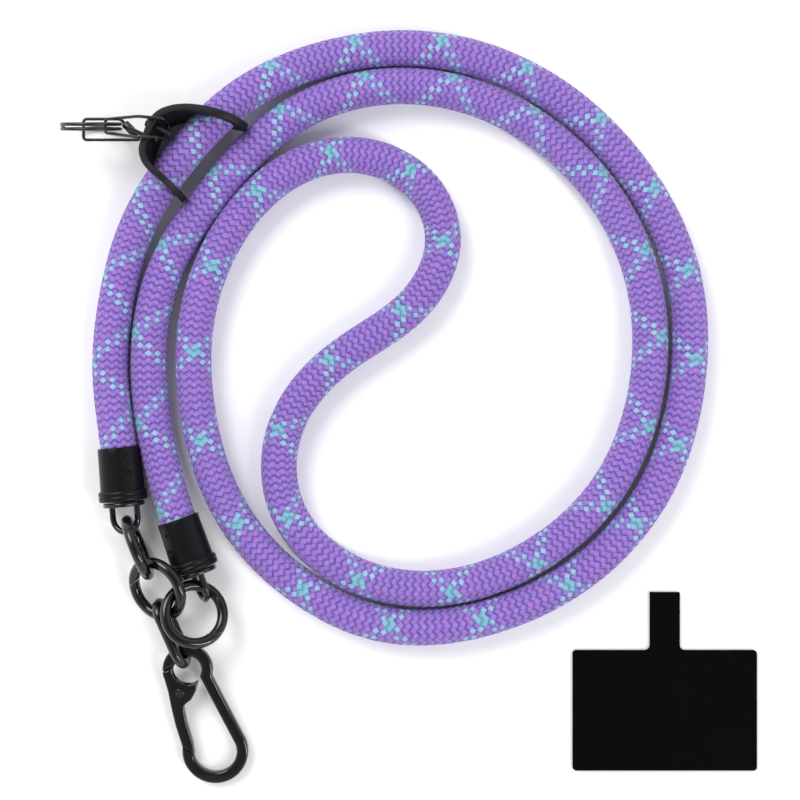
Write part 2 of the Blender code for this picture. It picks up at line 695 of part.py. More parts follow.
def build_stud(group, material):
    place, along, outward = strip_at(STUD_AT)
    inside = (-outward[0], -outward[1], 0)
    wall = STRIP_THICKNESS / 2 + FIT
    profile = [(0, wall + SMALL_HEAD_HEIGHT), (SMALL_HEAD / 2 - 0.2 * MM, wall + SMALL_HEAD_HEIGHT),
               (SMALL_HEAD / 2, wall + 0.5 * MM), (SMALL_HEAD / 2, wall),
               (STUD_SHAFT / 2, wall), (STUD_SHAFT / 2, -wall)]
    ribs = 5
    step = STUD_BARREL_LENGTH / ribs
    for k in range(ribs):
        start = -wall - k * step
        profile += [(STUD_BARREL / 2 - 0.15 * MM, start), (STUD_BARREL / 2, start - step * 0.3),
                    (STUD_BARREL / 2, start - step * 0.7)]
    profile += [(STUD_BARREL / 2 - 0.15 * MM, -wall - ribs * step), (0, -wall - ribs * step)]
    obj = turned("fold_stud", profile, 12)
    fixed(obj)
    smooth(obj)
    finish(obj, group, material, aimed((place[0], place[1], STUD_HEIGHT), inside))


def build_small_chain(group, material):
    for name, corners, bend in (("chain_link_a", LINK_A_MM, 1.2 * MM), ("chain_link_b", LINK_B_MM, 1.0 * MM)):
        line = rounded([Vector(point) * MM for point in corners], bend, 3)
        obj = wire(name, line, SMALL_WIRE / 2, closed=True, fineness=1)
        smooth(obj, 70)
        finish(obj, group, material)
    radius = (SPLIT_OUTER - SPLIT_WIRE) / 2
    pitch = SPLIT_WIRE + FIT
    count = round(SPLIT_TURNS * 26)
    coil = []
    for k in range(count + 1):
        turn = SPLIT_TURNS * k / count
        angle = turn * 2 * math.pi + math.radians(200)
        step = min(max((turn - SPLIT_TURNS + 1) / (2 - SPLIT_TURNS), 0), 1)
        coil.append((radius * math.cos(angle), radius * math.sin(angle), (step - 0.5) * pitch))
    lean = math.radians(SPLIT_LEAN)
    up = Vector((0, -math.sin(lean), math.cos(lean)))
    obj = wire("split_ring", coil, SPLIT_WIRE / 2, fineness=1)
    smooth(obj, 70)
    finish(obj, group, material, basis(SPLIT_PLACE, Vector((1, 0, 0)), up, Vector((1, 0, 0)).cross(up)))


def build_patch(group, material):
    """A flat rectangle with a narrow tab on its upper edge, seen from above."""
    r, f = PATCH_CORNER, TAB_FILLET
    outline = arc((PATCH_LEFT + r, PATCH_BOTTOM + r), r, 180, 270, 4)
    outline += arc((PATCH_RIGHT - r, PATCH_BOTTOM + r), r, 270, 360, 4)
    outline += arc((PATCH_RIGHT - r, PATCH_TOP - r), r, 0, 90, 4)
    outline += arc((TAB_RIGHT + f, PATCH_TOP + f), f, 270, 180, 4)
    outline += [(TAB_RIGHT, TAB_TOP), (TAB_LEFT, TAB_TOP)]
    outline += arc((TAB_LEFT - f, PATCH_TOP + f), f, 0, -90, 4)
    outline += arc((PATCH_LEFT + r, PATCH_TOP - r), r, 90, 180, 4)
    obj = plate("patch", outline, PATCH_THICKNESS)
    finish(obj, group, material, Matrix.Translation((0, 0, PATCH_THICKNESS / 2)))


def main():
    clear_scene()
    group = new_collection("phone_crossbody_strap")
    hidden = new_collection("cutters")
    rope = new_material("rope_braid", (0.30, 0.15, 0.62), 0.75, 0.0)
    cup = new_material("satin_black_metal", (0.012, 0.012, 0.014), 0.38, 0.8)
    ring = new_material("gloss_black_metal", (0.015, 0.015, 0.017), 0.22, 0.9)
    wires = new_material("black_wire", (0.02, 0.02, 0.022), 0.35, 0.8)
    strip = new_material("black_leather", (0.015, 0.015, 0.017), 0.6, 0.0)
    cloth = new_material("black_cloth", (0.006, 0.006, 0.007), 0.9, 0.0)
    build_rope(group, rope)
    build_cups(group, hidden, cup, ring)
    for number, place, lean, gate in ((1, RING_1_PLACE, RING_1_LEAN, RING_1_GATE),
                                      (2, RING_2_PLACE, RING_2_LEAN, RING_2_GATE),
                                      (3, RING_3_PLACE, RING_3_LEAN, RING_3_GATE)):
        build_gate_ring(number, place, lean, gate, group, hidden, ring)
    build_joining_link(group, ring)
    build_carabiner(group, hidden, ring, wires)
    build_strip(group, hidden, strip)
    build_connector(group, hidden, wires)
    build_stud(group, wires)
    build_small_chain(group, wires)
    build_patch(group, cloth)


main()
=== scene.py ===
# %% [markdown]
# A phone crossbody strap lies on a white table. It is a long round rope with a
# metal cup on each end, a few rings, a carabiner, a folded strip that holds two
# runs of the rope together, a small chain, and a flat patch for the phone's case.
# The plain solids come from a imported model, which this file opens first. Each
# step after that makes one piece again in fine detail, at the same place.

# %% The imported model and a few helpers
import math

import bpy
import numpy as np
from mathutils import Matrix, Vector


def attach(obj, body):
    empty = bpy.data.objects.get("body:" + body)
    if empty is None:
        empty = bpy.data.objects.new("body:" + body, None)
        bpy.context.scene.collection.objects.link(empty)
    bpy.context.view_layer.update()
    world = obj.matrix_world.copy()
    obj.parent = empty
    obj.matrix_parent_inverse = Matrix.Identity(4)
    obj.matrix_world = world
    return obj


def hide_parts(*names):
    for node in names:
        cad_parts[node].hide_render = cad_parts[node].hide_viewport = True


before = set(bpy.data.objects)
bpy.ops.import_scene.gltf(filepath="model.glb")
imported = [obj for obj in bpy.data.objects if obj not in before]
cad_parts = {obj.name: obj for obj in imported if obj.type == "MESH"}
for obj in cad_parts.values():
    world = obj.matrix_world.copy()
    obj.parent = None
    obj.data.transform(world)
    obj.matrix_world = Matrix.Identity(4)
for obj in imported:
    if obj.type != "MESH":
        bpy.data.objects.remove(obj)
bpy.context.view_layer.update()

MM = 0.001
print("pieces in the packed model:", len(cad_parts))


def select_only(obj=None):
    """Leave edit mode, deselect everything, then select one object."""
    if bpy.context.object and bpy.context.object.mode != "OBJECT":
        bpy.ops.object.mode_set(mode="OBJECT")
    bpy.ops.object.select_all(action="DESELECT")
    if obj is not None:
        obj.select_set(True)
        bpy.context.view_layer.objects.active = obj


def put_in_scene(name, data):
    """A new object that holds the data."""
    obj = bpy.data.objects.new(name, data)
    bpy.context.scene.collection.objects.link(obj)
    return obj


def close_up(merge_within=None):
    """Merge the active piece's doubles, and turn its faces outwards."""
    bpy.ops.object.mode_set(mode="EDIT")
    bpy.ops.mesh.select_all(action="SELECT")
    if merge_within:
        bpy.ops.mesh.remove_doubles(threshold=merge_within)
    bpy.ops.mesh.normals_make_consistent(inside=False)
    bpy.ops.object.mode_set(mode="OBJECT")


# %% [markdown]
# The photo was taken from straight above, at about half a metre, so the tall
# pieces spread outwards a little. A camera at that height, looking down, gives
# the same spread. Its angle is set so that one millimetre on the table covers
# three pixels of an 800 pixel picture.

# %% Camera
CAMERA_MM, HALF_VIEW_MM = 520, 133.33
camera_data = bpy.data.cameras.new("overhead_camera")
camera_data.sensor_fit = "HORIZONTAL"
camera_data.angle = 2 * math.atan(HALF_VIEW_MM / CAMERA_MM)
camera_data.clip_start = 0.02
camera_data.clip_end = 20
camera = put_in_scene("overhead_camera", camera_data)
camera.location = (-3.93 * MM, 16.23 * MM, CAMERA_MM * MM)
bpy.context.scene.camera = camera
print("camera height:", round(camera.location.z, 3), "m")

# %% [markdown]
# The rope comes first, because everything hangs on it. Its centre follows a list
# of points on the table, in metres, from inside one cup to inside the other. A
# natural cubic spline through them bends as a stiff rope does, with no corners.
# Where the strip holds two runs together, the rope climbs over itself a little.

# %% The rope's route
CUP_1_MOUTH, CUP_1_AIM = Vector((-0.0963, 0.0007, 0.008)), Vector((0.096, -0.995, 0)).normalized()
CUP_2_MOUTH, CUP_2_AIM = Vector((-0.0769, -0.0228, 0.008)), Vector((0.327, -0.945, 0)).normalized()
ROPE_IN_CUP = 0.0135
SECTIONS = 1960
ROUTE = [
    (-0.0993, 0.0255, 0.006), (-0.0975, 0.0475, 0.006), (-0.0907, 0.0721, 0.0072),
    (-0.0744, 0.0970, 0.0110), (-0.0539, 0.1168, 0.009), (-0.0263, 0.1291, 0.006),
    (0.0027, 0.1319, 0.006), (0.0428, 0.1192, 0.006), (0.0727, 0.0916, 0.006),
    (0.0889, 0.0587, 0.006), (0.0905, 0.0202, 0.006), (0.0807, -0.0118, 0.006),
    (0.0593, -0.0378, 0.006), (0.0284, -0.0543, 0.006), (-0.0093, -0.0576, 0.006),
    (-0.0362, -0.0455, 0.006), (-0.0599, -0.0200, 0.006), (-0.0707, 0.0129, 0.006),
    (-0.0711, 0.0419, 0.006), (-0.0599, 0.0721, 0.006), (-0.0402, 0.0917, 0.006),
    (-0.0204, 0.0970, 0.006), (0.0036, 0.0863, 0.006), (0.0102, 0.0690, 0.006),
    (0.0014, 0.0486, 0.006), (-0.0236, 0.0302, 0.006), (-0.0425, 0.0044, 0.006),
    (-0.0407, -0.0207, 0.006), (-0.0212, -0.0401, 0.006), (0.0060, -0.0459, 0.006),
    (0.0403, -0.0352, 0.006), (0.0649, -0.0123, 0.006), (0.0773, 0.0202, 0.006),
    (0.0743, 0.0622, 0.006), (0.0490, 0.0994, 0.006), (0.0158, 0.1172, 0.006),
    (-0.0138, 0.1189, 0.006), (-0.0402, 0.1091, 0.006), (-0.0648, 0.0848, 0.006),
    (-0.0810, 0.0594, 0.006), (-0.0867, 0.0294, 0.006), (-0.0838, 0.0017, 0.0064),
]


def spline(points, count):
    """Even points along a natural cubic spline through the given points."""
    p = np.array(points, float)
    h = np.linalg.norm(np.diff(p, axis=0), axis=1)
    n = len(p)
    a, b = np.eye(n), np.zeros_like(p)
    for i in range(1, n - 1):
        a[i, i - 1:i + 2] = h[i - 1], 2 * (h[i - 1] + h[i]), h[i]
        b[i] = 6 * ((p[i + 1] - p[i]) / h[i] - (p[i] - p[i - 1]) / h[i - 1])
    m = np.linalg.solve(a, b)
    fine = []
    for i in range(n - 1):
        t = (np.arange(24) / 24 * h[i])[:, None]
        u = h[i] - t
        bend = (m[i] * u ** 3 + m[i + 1] * t ** 3) / (6 * h[i])
        line = (p[i] / h[i] - m[i] * h[i] / 6) * u + (p[i + 1] / h[i] - m[i + 1] * h[i] / 6) * t
        fine.append(bend + line)
    fine = np.vstack(fine + [p[-1:]])
    run = np.concatenate([[0], np.cumsum(np.linalg.norm(np.diff(fine, axis=0), axis=1))])
    at = np.linspace(0, run[-1], count)
    return np.stack([np.interp(at, run, fine[:, k]) for k in range(p.shape[1])], 1)


route = [CUP_1_MOUTH + CUP_1_AIM * ROPE_IN_CUP, CUP_1_MOUTH]
route += [Vector(point) for point in ROUTE]
route += [CUP_2_MOUTH, CUP_2_MOUTH + CUP_2_AIM * ROPE_IN_CUP]
centre_line = spline([tuple(point) for point in route], SECTIONS)
steps = np.linalg.norm(np.diff(centre_line, axis=0), axis=1)
along_mm = np.concatenate([[0], np.cumsum(steps)]) / MM
print("rope length:", round(along_mm[-1] / 1000, 3), "m")

# %% [markdown]
# The sheath is a braid of 24 strands, 12 each way, every strand over one and
# under one. Two strands each way are turquoise. Where they cross on the upper
# side they make a star, once in every turn. The stars are not quite even, and
# the rope rolls a little as it lies, so a short table says how far along the
# rope each star is, in millimetres, and how many degrees it has rolled.
# The braid could be modelled strand by strand, but that needs millions of faces.
# Here one tube carries it: the larger swell of the strands is in the mesh, and
# the same sum in the material draws each strand's edge and its yarns, and paints
# shade into the seams between the strands.

# %% Where the stars are
STARS = [
    (12.3, -75), (41.3, -75), (69.8, -75), (98.3, -68), (126.8, -52), (155.3, -34), (183.8, -28),
    (211.7, -26), (240, -26), (268.7, -30), (297, -19), (325.4, -10), (354.4, -13), (383, -6), (411.9, -3),
    (441.8, -5), (472.2, 5), (503.2, 12), (534.2, 3), (564.7, 5), (594.6, 0), (623.9, 10), (652.8, 8),
    (681.5, -5), (708.9, -6), (735.7, -10), (761.8, 0), (789.5, 14), (818.1, 16), (845.7, 21), (874.3, 5),
    (905.2, 8), (935.8, 13), (965, 23), (993.6, 26), (1022.4, 34), (1051.1, 34), (1079, 30), (1107.1, 42),
    (1136, 51), (1163.8, 48), (1191.7, 40), (1219.9, 38), (1248.8, 48), (1277.2, 45), (1306, 52), (1335, 52),
    (1364, 52), (1393, 52),
]
star_mm, star_roll = (np.array(column, float) for column in zip(*STARS))
star_turn = np.arange(len(STARS)) - 7.0
turns = np.interp(along_mm, star_mm, star_turn)
roll = np.interp(along_mm, star_mm, star_roll) / 360
print("braid turns along the rope:", round(float(turns[-1] - turns[0]), 1))

# %% The rope's mesh
ROPE_RADIUS = 5.93 * MM
SWELL = 0.24 * MM
TABLE_GAP = 0.03 * MM
AROUND = 48
STRANDS, TRACERS = 12, 1.5
FRONT_DIVE, BACK_DIVE = 2.6, 6.0


def braid_height(u, v):
    """How far the strand on top stands out, from 0 at the seam it dives under, to 1."""
    p, q = STRANDS * (u - v), STRANDS * (u + v)
    fp, fq = np.floor(p), np.floor(q)
    front, back = np.minimum(1 - (q - fq), p - fp), np.minimum(q - fq, 1 - (p - fp))
    return np.minimum(np.where(np.mod(fp + fq, 2) < 0.5, front * FRONT_DIVE, back * BACK_DIVE), 1)


tangent = np.gradient(centre_line, axis=0)
tangent /= np.linalg.norm(tangent, axis=1)[:, None]
level = np.cross(tangent, (0, 0, 1.0))
level /= np.linalg.norm(level, axis=1)[:, None]
upward = np.cross(level, tangent)
share = np.arange(AROUND) / AROUND
u_grid = share[None, :] + np.zeros((len(centre_line), 1))
angle = 2 * math.pi * (u_grid - 1 / STRANDS + roll[:, None])
reach = ROPE_RADIUS - SWELL * (1 - braid_height(u_grid, turns[:, None]))
ring = (np.cos(angle) * reach)[..., None] * upward[:, None, :]
ring += (np.sin(angle) * reach)[..., None] * level[:, None, :]
verts = (centre_line[:, None, :] + ring).reshape(-1, 3)
verts[:, 2] = np.maximum(verts[:, 2], TABLE_GAP)
faces, face_uv = [], []
for i in range(SECTIONS - 1):
    for j in range(AROUND):
        k = (j + 1) % AROUND
        faces.append((i * AROUND + j, i * AROUND + k, (i + 1) * AROUND + k, (i + 1) * AROUND + j))
        face_uv += [(j / AROUND, turns[i]), ((j + 1) / AROUND, turns[i]),
                    ((j + 1) / AROUND, turns[i + 1]), (j / AROUND, turns[i + 1])]
for start, order in ((0, 1), ((SECTIONS - 1) * AROUND, -1)):
    faces.append(tuple(start + j for j in range(AROUND))[::-order])
    face_uv += [(0, 0)] * AROUND
rope_mesh = bpy.data.meshes.new("rope_braid")
rope_mesh.from_pydata([tuple(v) for v in verts], [], faces)
uv_layer = rope_mesh.uv_layers.new(name="braid")
uv_layer.data.foreach_set("uv", np.array(face_uv, dtype=np.float32).ravel())
rope_mesh.shade_smooth()
rope = put_in_scene("rope_braid", rope_mesh)
select_only(rope)
close_up()
root = "strap"
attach(rope, root)
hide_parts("rope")
print("rope faces:", len(faces))

# %% [markdown]
# Materials come next. Several of them need the same things: a sum of nodes, and
# a fine unevenness. A small helper strings math nodes together, so that the
# braid's sum reads here as it does above.

# %% Helpers for nodes
def new_group(name, inputs, outputs):
    """An empty node group with named sockets."""
    group = bpy.data.node_groups.new(name, "ShaderNodeTree")
    for label, kind, value in inputs:
        socket = group.interface.new_socket(name=label, in_out="INPUT", socket_type=kind)
        if value is not None:
            socket.default_value = value
    for label in outputs:
        group.interface.new_socket(name=label, in_out="OUTPUT", socket_type="NodeSocketFloat")
    return group, group.nodes.new("NodeGroupInput"), group.nodes.new("NodeGroupOutput")


def feed(socket, value):
    """Link a socket to another, or set its number."""
    if isinstance(value, bpy.types.NodeSocket):
        socket.id_data.links.new(value, socket)
    else:
        socket.default_value = value


def set_inputs(node, **values):
    """Feed a node's inputs by name, with _ for a space in the name."""
    for label, value in values.items():
        feed(node.inputs[label.replace("_", " ")], value)


def math_step(operation):
    """A function that strings one math node onto the sockets and numbers it is given."""
    def string_on(*values):
        tree = next(value.id_data for value in values if isinstance(value, bpy.types.NodeSocket))
        node = tree.nodes.new("ShaderNodeMath")
        node.operation = operation
        for slot, value in enumerate(values):
            feed(node.inputs[slot], value)
        return node.outputs[0]
    return string_on


plus, minus, times, divided = map(math_step, ("ADD", "SUBTRACT", "MULTIPLY", "DIVIDE"))
lowest, highest, below = map(math_step, ("MINIMUM", "MAXIMUM", "LESS_THAN"))
whole_of, wrapped, size_of = map(math_step, ("FLOOR", "FLOORED_MODULO", "ABSOLUTE"))
power, root_of, sine = map(math_step, ("POWER", "SQRT", "SINE"))


def parts_of(vector):
    """The three numbers of a vector."""
    node = vector.id_data.nodes.new("ShaderNodeSeparateXYZ")
    feed(node.inputs[0], vector)
    return node.outputs


def vector_of(*parts):
    """One vector of three numbers, the first of which is a socket."""
    node = parts[0].id_data.nodes.new("ShaderNodeCombineXYZ")
    for socket, value in zip(node.inputs, parts):
        feed(socket, value)
    return node.outputs[0]


def mixed(factor, a, b):
    """A mix of two colours."""
    node = factor.id_data.nodes.new("ShaderNodeMix")
    node.data_type = "RGBA"
    for slot, value in ((0, factor), (6, a), (7, b)):
        feed(node.inputs[slot], value)
    return node.outputs[2]


def noise(vector, scale, detail=2.0):
    node = vector.id_data.nodes.new("ShaderNodeTexNoise")
    set_inputs(node, Vector=vector, Scale=scale, Detail=detail)
    return node.outputs["Fac"]


def bump(height, distance, strength):
    node = height.id_data.nodes.new("ShaderNodeBump")
    set_inputs(node, Height=height, Distance=distance, Strength=strength)
    return node.outputs["Normal"]


def place_group(tree, group, **values):
    node = tree.nodes.new("ShaderNodeGroup")
    node.node_tree = group
    set_inputs(node, **values)
    return node.outputs


def new_material(name):
    material = bpy.data.materials.new(name)
    material.use_nodes = True
    return material, material.node_tree, material.node_tree.nodes["Principled BSDF"]


print("node helpers ready")

# %% The braid as a node group
braid, given, result = new_group("braid", [("Place", "NodeSocketVector", None)],
                                 ["Tracer", "Height", "Shade", "Yarn", "Strand Tone", "Star"])
u, v = parts_of(given.outputs["Place"])[:2]
p, q = times(minus(u, v), STRANDS), times(plus(u, v), STRANDS)
fp, fq = whole_of(p), whole_of(q)
p_part, q_part = minus(p, fp), minus(q, fq)
over = below(wrapped(plus(fp, fq), 2.0), 0.5)
p_strand, q_strand = wrapped(fp, STRANDS), wrapped(fq, STRANDS)


def either(a, b):
    """a where the first set of strands is on top, and b where the second is."""
    return plus(b, times(over, minus(a, b)))


def rounded_off(distance, steepness):
    """1 in the middle of a strand, falling in an arc to 0 at its edge."""
    near = times(distance, steepness)
    return root_of(highest(minus(1.0, times(near, near)), 0.0))


across, along = minus(either(p_part, q_part), 0.5), minus(either(q_part, p_part), 0.5)
strand = either(p_strand, q_strand)
front, back = lowest(minus(1.0, q_part), p_part), lowest(minus(1.0, p_part), q_part)
seam = lowest(either(times(front, FRONT_DIVE), times(back, BACK_DIVE)), 1.0)
rim = lowest(times(either(back, front), 7.0), 1.0)
half_strand = minus(wrapped(times(across, 2.0), 1.0), 0.5)
pillow = plus(times(rounded_off(along, 1.8), 0.3), times(rounded_off(half_strand, 1.8), 0.15))
height = times(seam, plus(plus(pillow, 0.45), times(rim, 0.1)))
# Shade is painted shade: low deep in each seam where a strand dives under the next, wider on the front seams than
# on the back ones, with a faint dark line at the other edges, and 1 on a strand's top.
shade = times(plus(times(power(seam, 0.8), 0.85), 0.15), plus(times(rim, 0.4), 0.6))
star = times(below(p_strand, TRACERS), below(q_strand, TRACERS))
yarn = noise(vector_of(times(along, 0.8), plus(times(across, 9.0), times(along, 1.2)),
                       plus(times(strand, 3.7), times(plus(fp, fq), 0.91))), 1.0, 1.0)
tone = noise(vector_of(plus(fp, 0.5), times(plus(fq, 0.5), 1.3), minus(7.0, times(over, 6.0))), 0.7, 0.0)
tracer = below(strand, TRACERS)
set_inputs(result, Tracer=tracer, Height=height, Shade=shade, Yarn=yarn, Strand_Tone=tone, Star=star)
print("braid group nodes:", len(braid.nodes))

# %% Rope material
rope_look, tree, shader = new_material("braided_yarn")
uv_node = tree.nodes.new("ShaderNodeUVMap")
uv_node.uv_map = "braid"
woven = place_group(tree, braid, Place=uv_node.outputs[0])
# Painted shade: where Shade is low, in the seams, the lilac turns deep violet and the turquoise tracers turn to a
# darker copy of their own colour.
purple = mixed(woven["Shade"], (0.042, 0.009, 0.22, 1), (0.242, 0.12, 0.54, 1))
pink = times(highest(minus(woven["Strand Tone"], 0.55), 0.0), 2.2)
purple = mixed(times(pink, woven["Shade"]), purple, (0.38, 0.11, 0.52, 1))
pale = mixed(woven["Star"], (0.25, 0.43, 0.63, 1), (0.15, 0.40, 0.53, 1))
tracer_painted_shade = mixed(woven["Star"], (0.07, 0.10, 0.36, 1), (0.08, 0.28, 0.40, 1))
colour = mixed(woven["Tracer"], purple, mixed(woven["Shade"], tracer_painted_shade, pale))
stray_yarn = times(size_of(minus(woven["Yarn"], 0.5)), 0.9)
colour = mixed(stray_yarn, colour, (0.55, 0.5, 0.75, 1))
relief = plus(woven["Height"], times(woven["Yarn"], 0.3))
set_inputs(shader, Base_Color=colour, Roughness=0.72, Sheen_Weight=0.25, Sheen_Roughness=0.4,
           Normal=bump(relief, 0.00055, 1.0))
rope_mesh.materials.append(rope_look)
print("rope material nodes:", len(tree.nodes))

# %% [markdown]
# All the metal is coated black. The rings and the carabiner have a thick glossy
# coat with a slight orange-peel surface, and where edges rub it turns a shade
# lighter. The cups have a satin coat. One group gives the unevenness and the rub
# marks, and each material sets how strong they are.

# %% Metal materials
coat, given, result = new_group(
    "uneven_coat", [("Peel Scale", "NodeSocketFloat", 900.0), ("Rub", "NodeSocketFloat", 0.5)],
    ["Rub Mask", "Peel", "Patchy"])
texture_place = coat.nodes.new("ShaderNodeTexCoord").outputs["Object"]
patchy = noise(texture_place, 160.0, 3.0)
edge = coat.nodes.new("ShaderNodeNewGeometry").outputs["Pointiness"]
lifted = times(highest(minus(edge, 0.53), 0.0), 9.0)
set_inputs(result, Rub_Mask=times(lowest(times(lifted, patchy), 1.0), given.outputs["Rub"]),
           Peel=noise(texture_place, given.outputs["Peel Scale"]), Patchy=patchy)


def black_coat(name, dark, rubbed, roughness, spread, peel_scale, peel_depth, rub, coat_weight, specular):
    material, tree, shader = new_material(name)
    uneven = place_group(tree, coat, Peel_Scale=peel_scale, Rub=rub)
    set_inputs(shader, Base_Color=mixed(uneven["Rub Mask"], dark, rubbed),
               Roughness=plus(roughness - spread / 2, times(uneven["Patchy"], spread)),
               Specular_IOR_Level=specular, Coat_Weight=coat_weight, Coat_Roughness=0.1,
               Normal=bump(uneven["Peel"], peel_depth, 0.6))
    return material


gloss_black = black_coat(
    "gloss_black_coat", dark=(0.003, 0.003, 0.0035, 1), rubbed=(0.03, 0.03, 0.033, 1), roughness=0.17,
    spread=0.08, peel_scale=500.0, peel_depth=0.00003, rub=0.6, coat_weight=0.5, specular=0.25)
satin_black = black_coat(
    "satin_black_coat", dark=(0.004, 0.004, 0.005, 1), rubbed=(0.03, 0.03, 0.033, 1), roughness=0.33,
    spread=0.12, peel_scale=1400.0, peel_depth=0.00003, rub=0.5, coat_weight=0.0, specular=0.16)
wire_black = black_coat(
    "black_wire_coat", dark=(0.004, 0.004, 0.0045, 1), rubbed=(0.035, 0.035, 0.038, 1), roughness=0.28,
    spread=0.12, peel_scale=900.0, peel_depth=0.00002, rub=0.6, coat_weight=0.1, specular=0.4)
print("metal materials made")

# %% [markdown]
# Rings, loops and links are all round wire, bent in a machine. The same moves
# work here: a circle, the wire's section, is pushed along a straight run or spun
# round a bend, and what it sweeps is the wire. A closed link ends where it began,
# and its last section is merged with its first.

# %% Bending wire
def bend_wire(name, radius, start, heading, moves, sides=20, closed=False):
    """Sweep a round section in the XY plane: ("run", length) or ("turn", radius, degrees).

    With no window open a spin turns the other way, so its angle is given with a minus.
    """
    select_only()
    at, facing = Vector((*start, 0)), math.radians(heading)
    bpy.ops.mesh.primitive_circle_add(vertices=sides, radius=radius, location=at,
                                      rotation=(0, math.pi / 2, facing))
    obj = bpy.context.object
    obj.name = name
    bpy.ops.object.transform_apply(location=True, rotation=True, scale=True)
    bpy.ops.object.mode_set(mode="EDIT")
    bpy.ops.mesh.select_all(action="SELECT")
    for move in moves:
        ahead = Vector((math.cos(facing), math.sin(facing), 0))
        if move[0] == "run":
            bpy.ops.mesh.extrude_region_move(TRANSFORM_OT_translate={"value": tuple(ahead * move[1])})
            at = at + ahead * move[1]
            continue
        bend, degrees = move[1], move[2]
        left = Vector((-ahead.y, ahead.x, 0)) * (bend if degrees > 0 else -bend)
        middle = at + left
        count = max(3, round(abs(degrees) / 5))
        bpy.ops.mesh.spin(steps=count, angle=-math.radians(degrees), center=tuple(middle), axis=(0, 0, 1))
        at = middle + Matrix.Rotation(math.radians(degrees), 3, "Z") @ (at - middle)
        facing += math.radians(degrees)
    bpy.ops.mesh.select_all(action="SELECT")
    bpy.ops.mesh.remove_doubles(threshold=0.00001)
    if not closed:
        bpy.ops.mesh.fill_holes(sides=0)
    bpy.ops.mesh.select_all(action="SELECT")
    bpy.ops.mesh.normals_make_consistent(inside=False)
    bpy.ops.object.mode_set(mode="OBJECT")
    return obj


def add_modifier(obj, kind, **settings):
    """Add a modifier, set it and apply it."""
    select_only(obj)
    bpy.ops.object.modifier_add(type=kind)
    modifier = obj.modifiers[-1]
    for label, value in settings.items():
        setattr(modifier, label, value)
    bpy.ops.object.modifier_apply(modifier=modifier.name)


def cut(obj, cutter, operation="DIFFERENCE", keep=False):
    """Take the cutter out of a piece, or join it on, and put the cutter away."""
    add_modifier(obj, "BOOLEAN", object=cutter, operation=operation, solver="EXACT")
    if not keep:
        bpy.data.objects.remove(cutter, do_unlink=True)


def soften(obj, width, degrees=40):
    add_modifier(obj, "BEVEL", width=width, segments=2, limit_method="ANGLE",
                 angle_limit=math.radians(degrees), use_clamp_overlap=True)


def dress(obj, material, body, nodes, matrix=None, smooth_degrees=45):
    """Put a finished piece in its place, with its material, its body and its CAD nodes."""
    if matrix is not None:
        obj.data.transform(matrix)
    select_only(obj)
    bpy.ops.object.shade_smooth_by_angle(angle=math.radians(smooth_degrees))
    obj.data.materials.clear()
    obj.data.materials.append(material)
    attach(obj, body)
    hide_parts(*nodes)
    print(obj.name, "faces:", len(obj.data.polygons))
    return obj


def basis(place, x, y, z):
    matrix = Matrix((x, y, z)).transposed().to_4x4()
    matrix.translation = Vector(place)
    return matrix


def leaning(place, yaw, tilt):
    """Where a flat piece lies whose normal tilts from straight up toward a compass angle."""
    yaw, tilt = math.radians(yaw), math.radians(tilt)
    normal = Vector((math.sin(tilt) * math.cos(yaw), math.sin(tilt) * math.sin(yaw), math.cos(tilt)))
    x = (Vector((1, 0, 0)) - normal * normal.x).normalized()
    return basis(place, x, normal.cross(x), normal)


# %% [markdown]
# A spring gate ring is a cast ring with a piece cut out of it. The piece turns on
# a round knuckle at one end and closes a slanted split at the other. Both are
# made from the same sweep, so they match: a ball takes its room out of the ring,
# and a block cuts the slanted split, once on each side of a hairline gap.

# %% Gate rings
RING_BEND = 9.5 * MM
RING_WIRE = 3.6 * MM
PLAY, SOFT_EDGE = 0.16 * MM, 0.16 * MM
CUT_TURN = 6.0
GATE_RINGS = [
    (1, (-0.08947, -0.03194, 0.01130), -158.2, 85.1, 55.0, 125.0),
    (2, (-0.08316, -0.04556, 0.01086), 212.7, 36.4, 255.0, 180.0),
    (3, (-0.07096, -0.05356, 0.01170), 38.4, 25.8, 34.0, -38.0),
]


def on_ring(degrees):
    angle = math.radians(degrees)
    return Vector((RING_BEND * math.cos(angle), RING_BEND * math.sin(angle), 0))


def ball_at(place, radius):
    select_only()
    bpy.ops.mesh.primitive_uv_sphere_add(segments=32, ring_count=20, radius=radius, location=place)
    bpy.ops.object.transform_apply(location=True, rotation=True, scale=True)
    return bpy.context.object


def block_at(matrix, size):
    select_only()
    bpy.ops.mesh.primitive_cube_add(size=1)
    obj = bpy.context.object
    obj.data.transform(matrix @ Matrix.Diagonal((*size, 1)))
    return obj


def ring_arc(name, start, end):
    turn = 1 if end > start else -1
    return bend_wire(name, RING_WIRE / 2, on_ring(start).to_2d(), start + 90 * turn,
                     [("turn", RING_BEND, end - start)], sides=28)


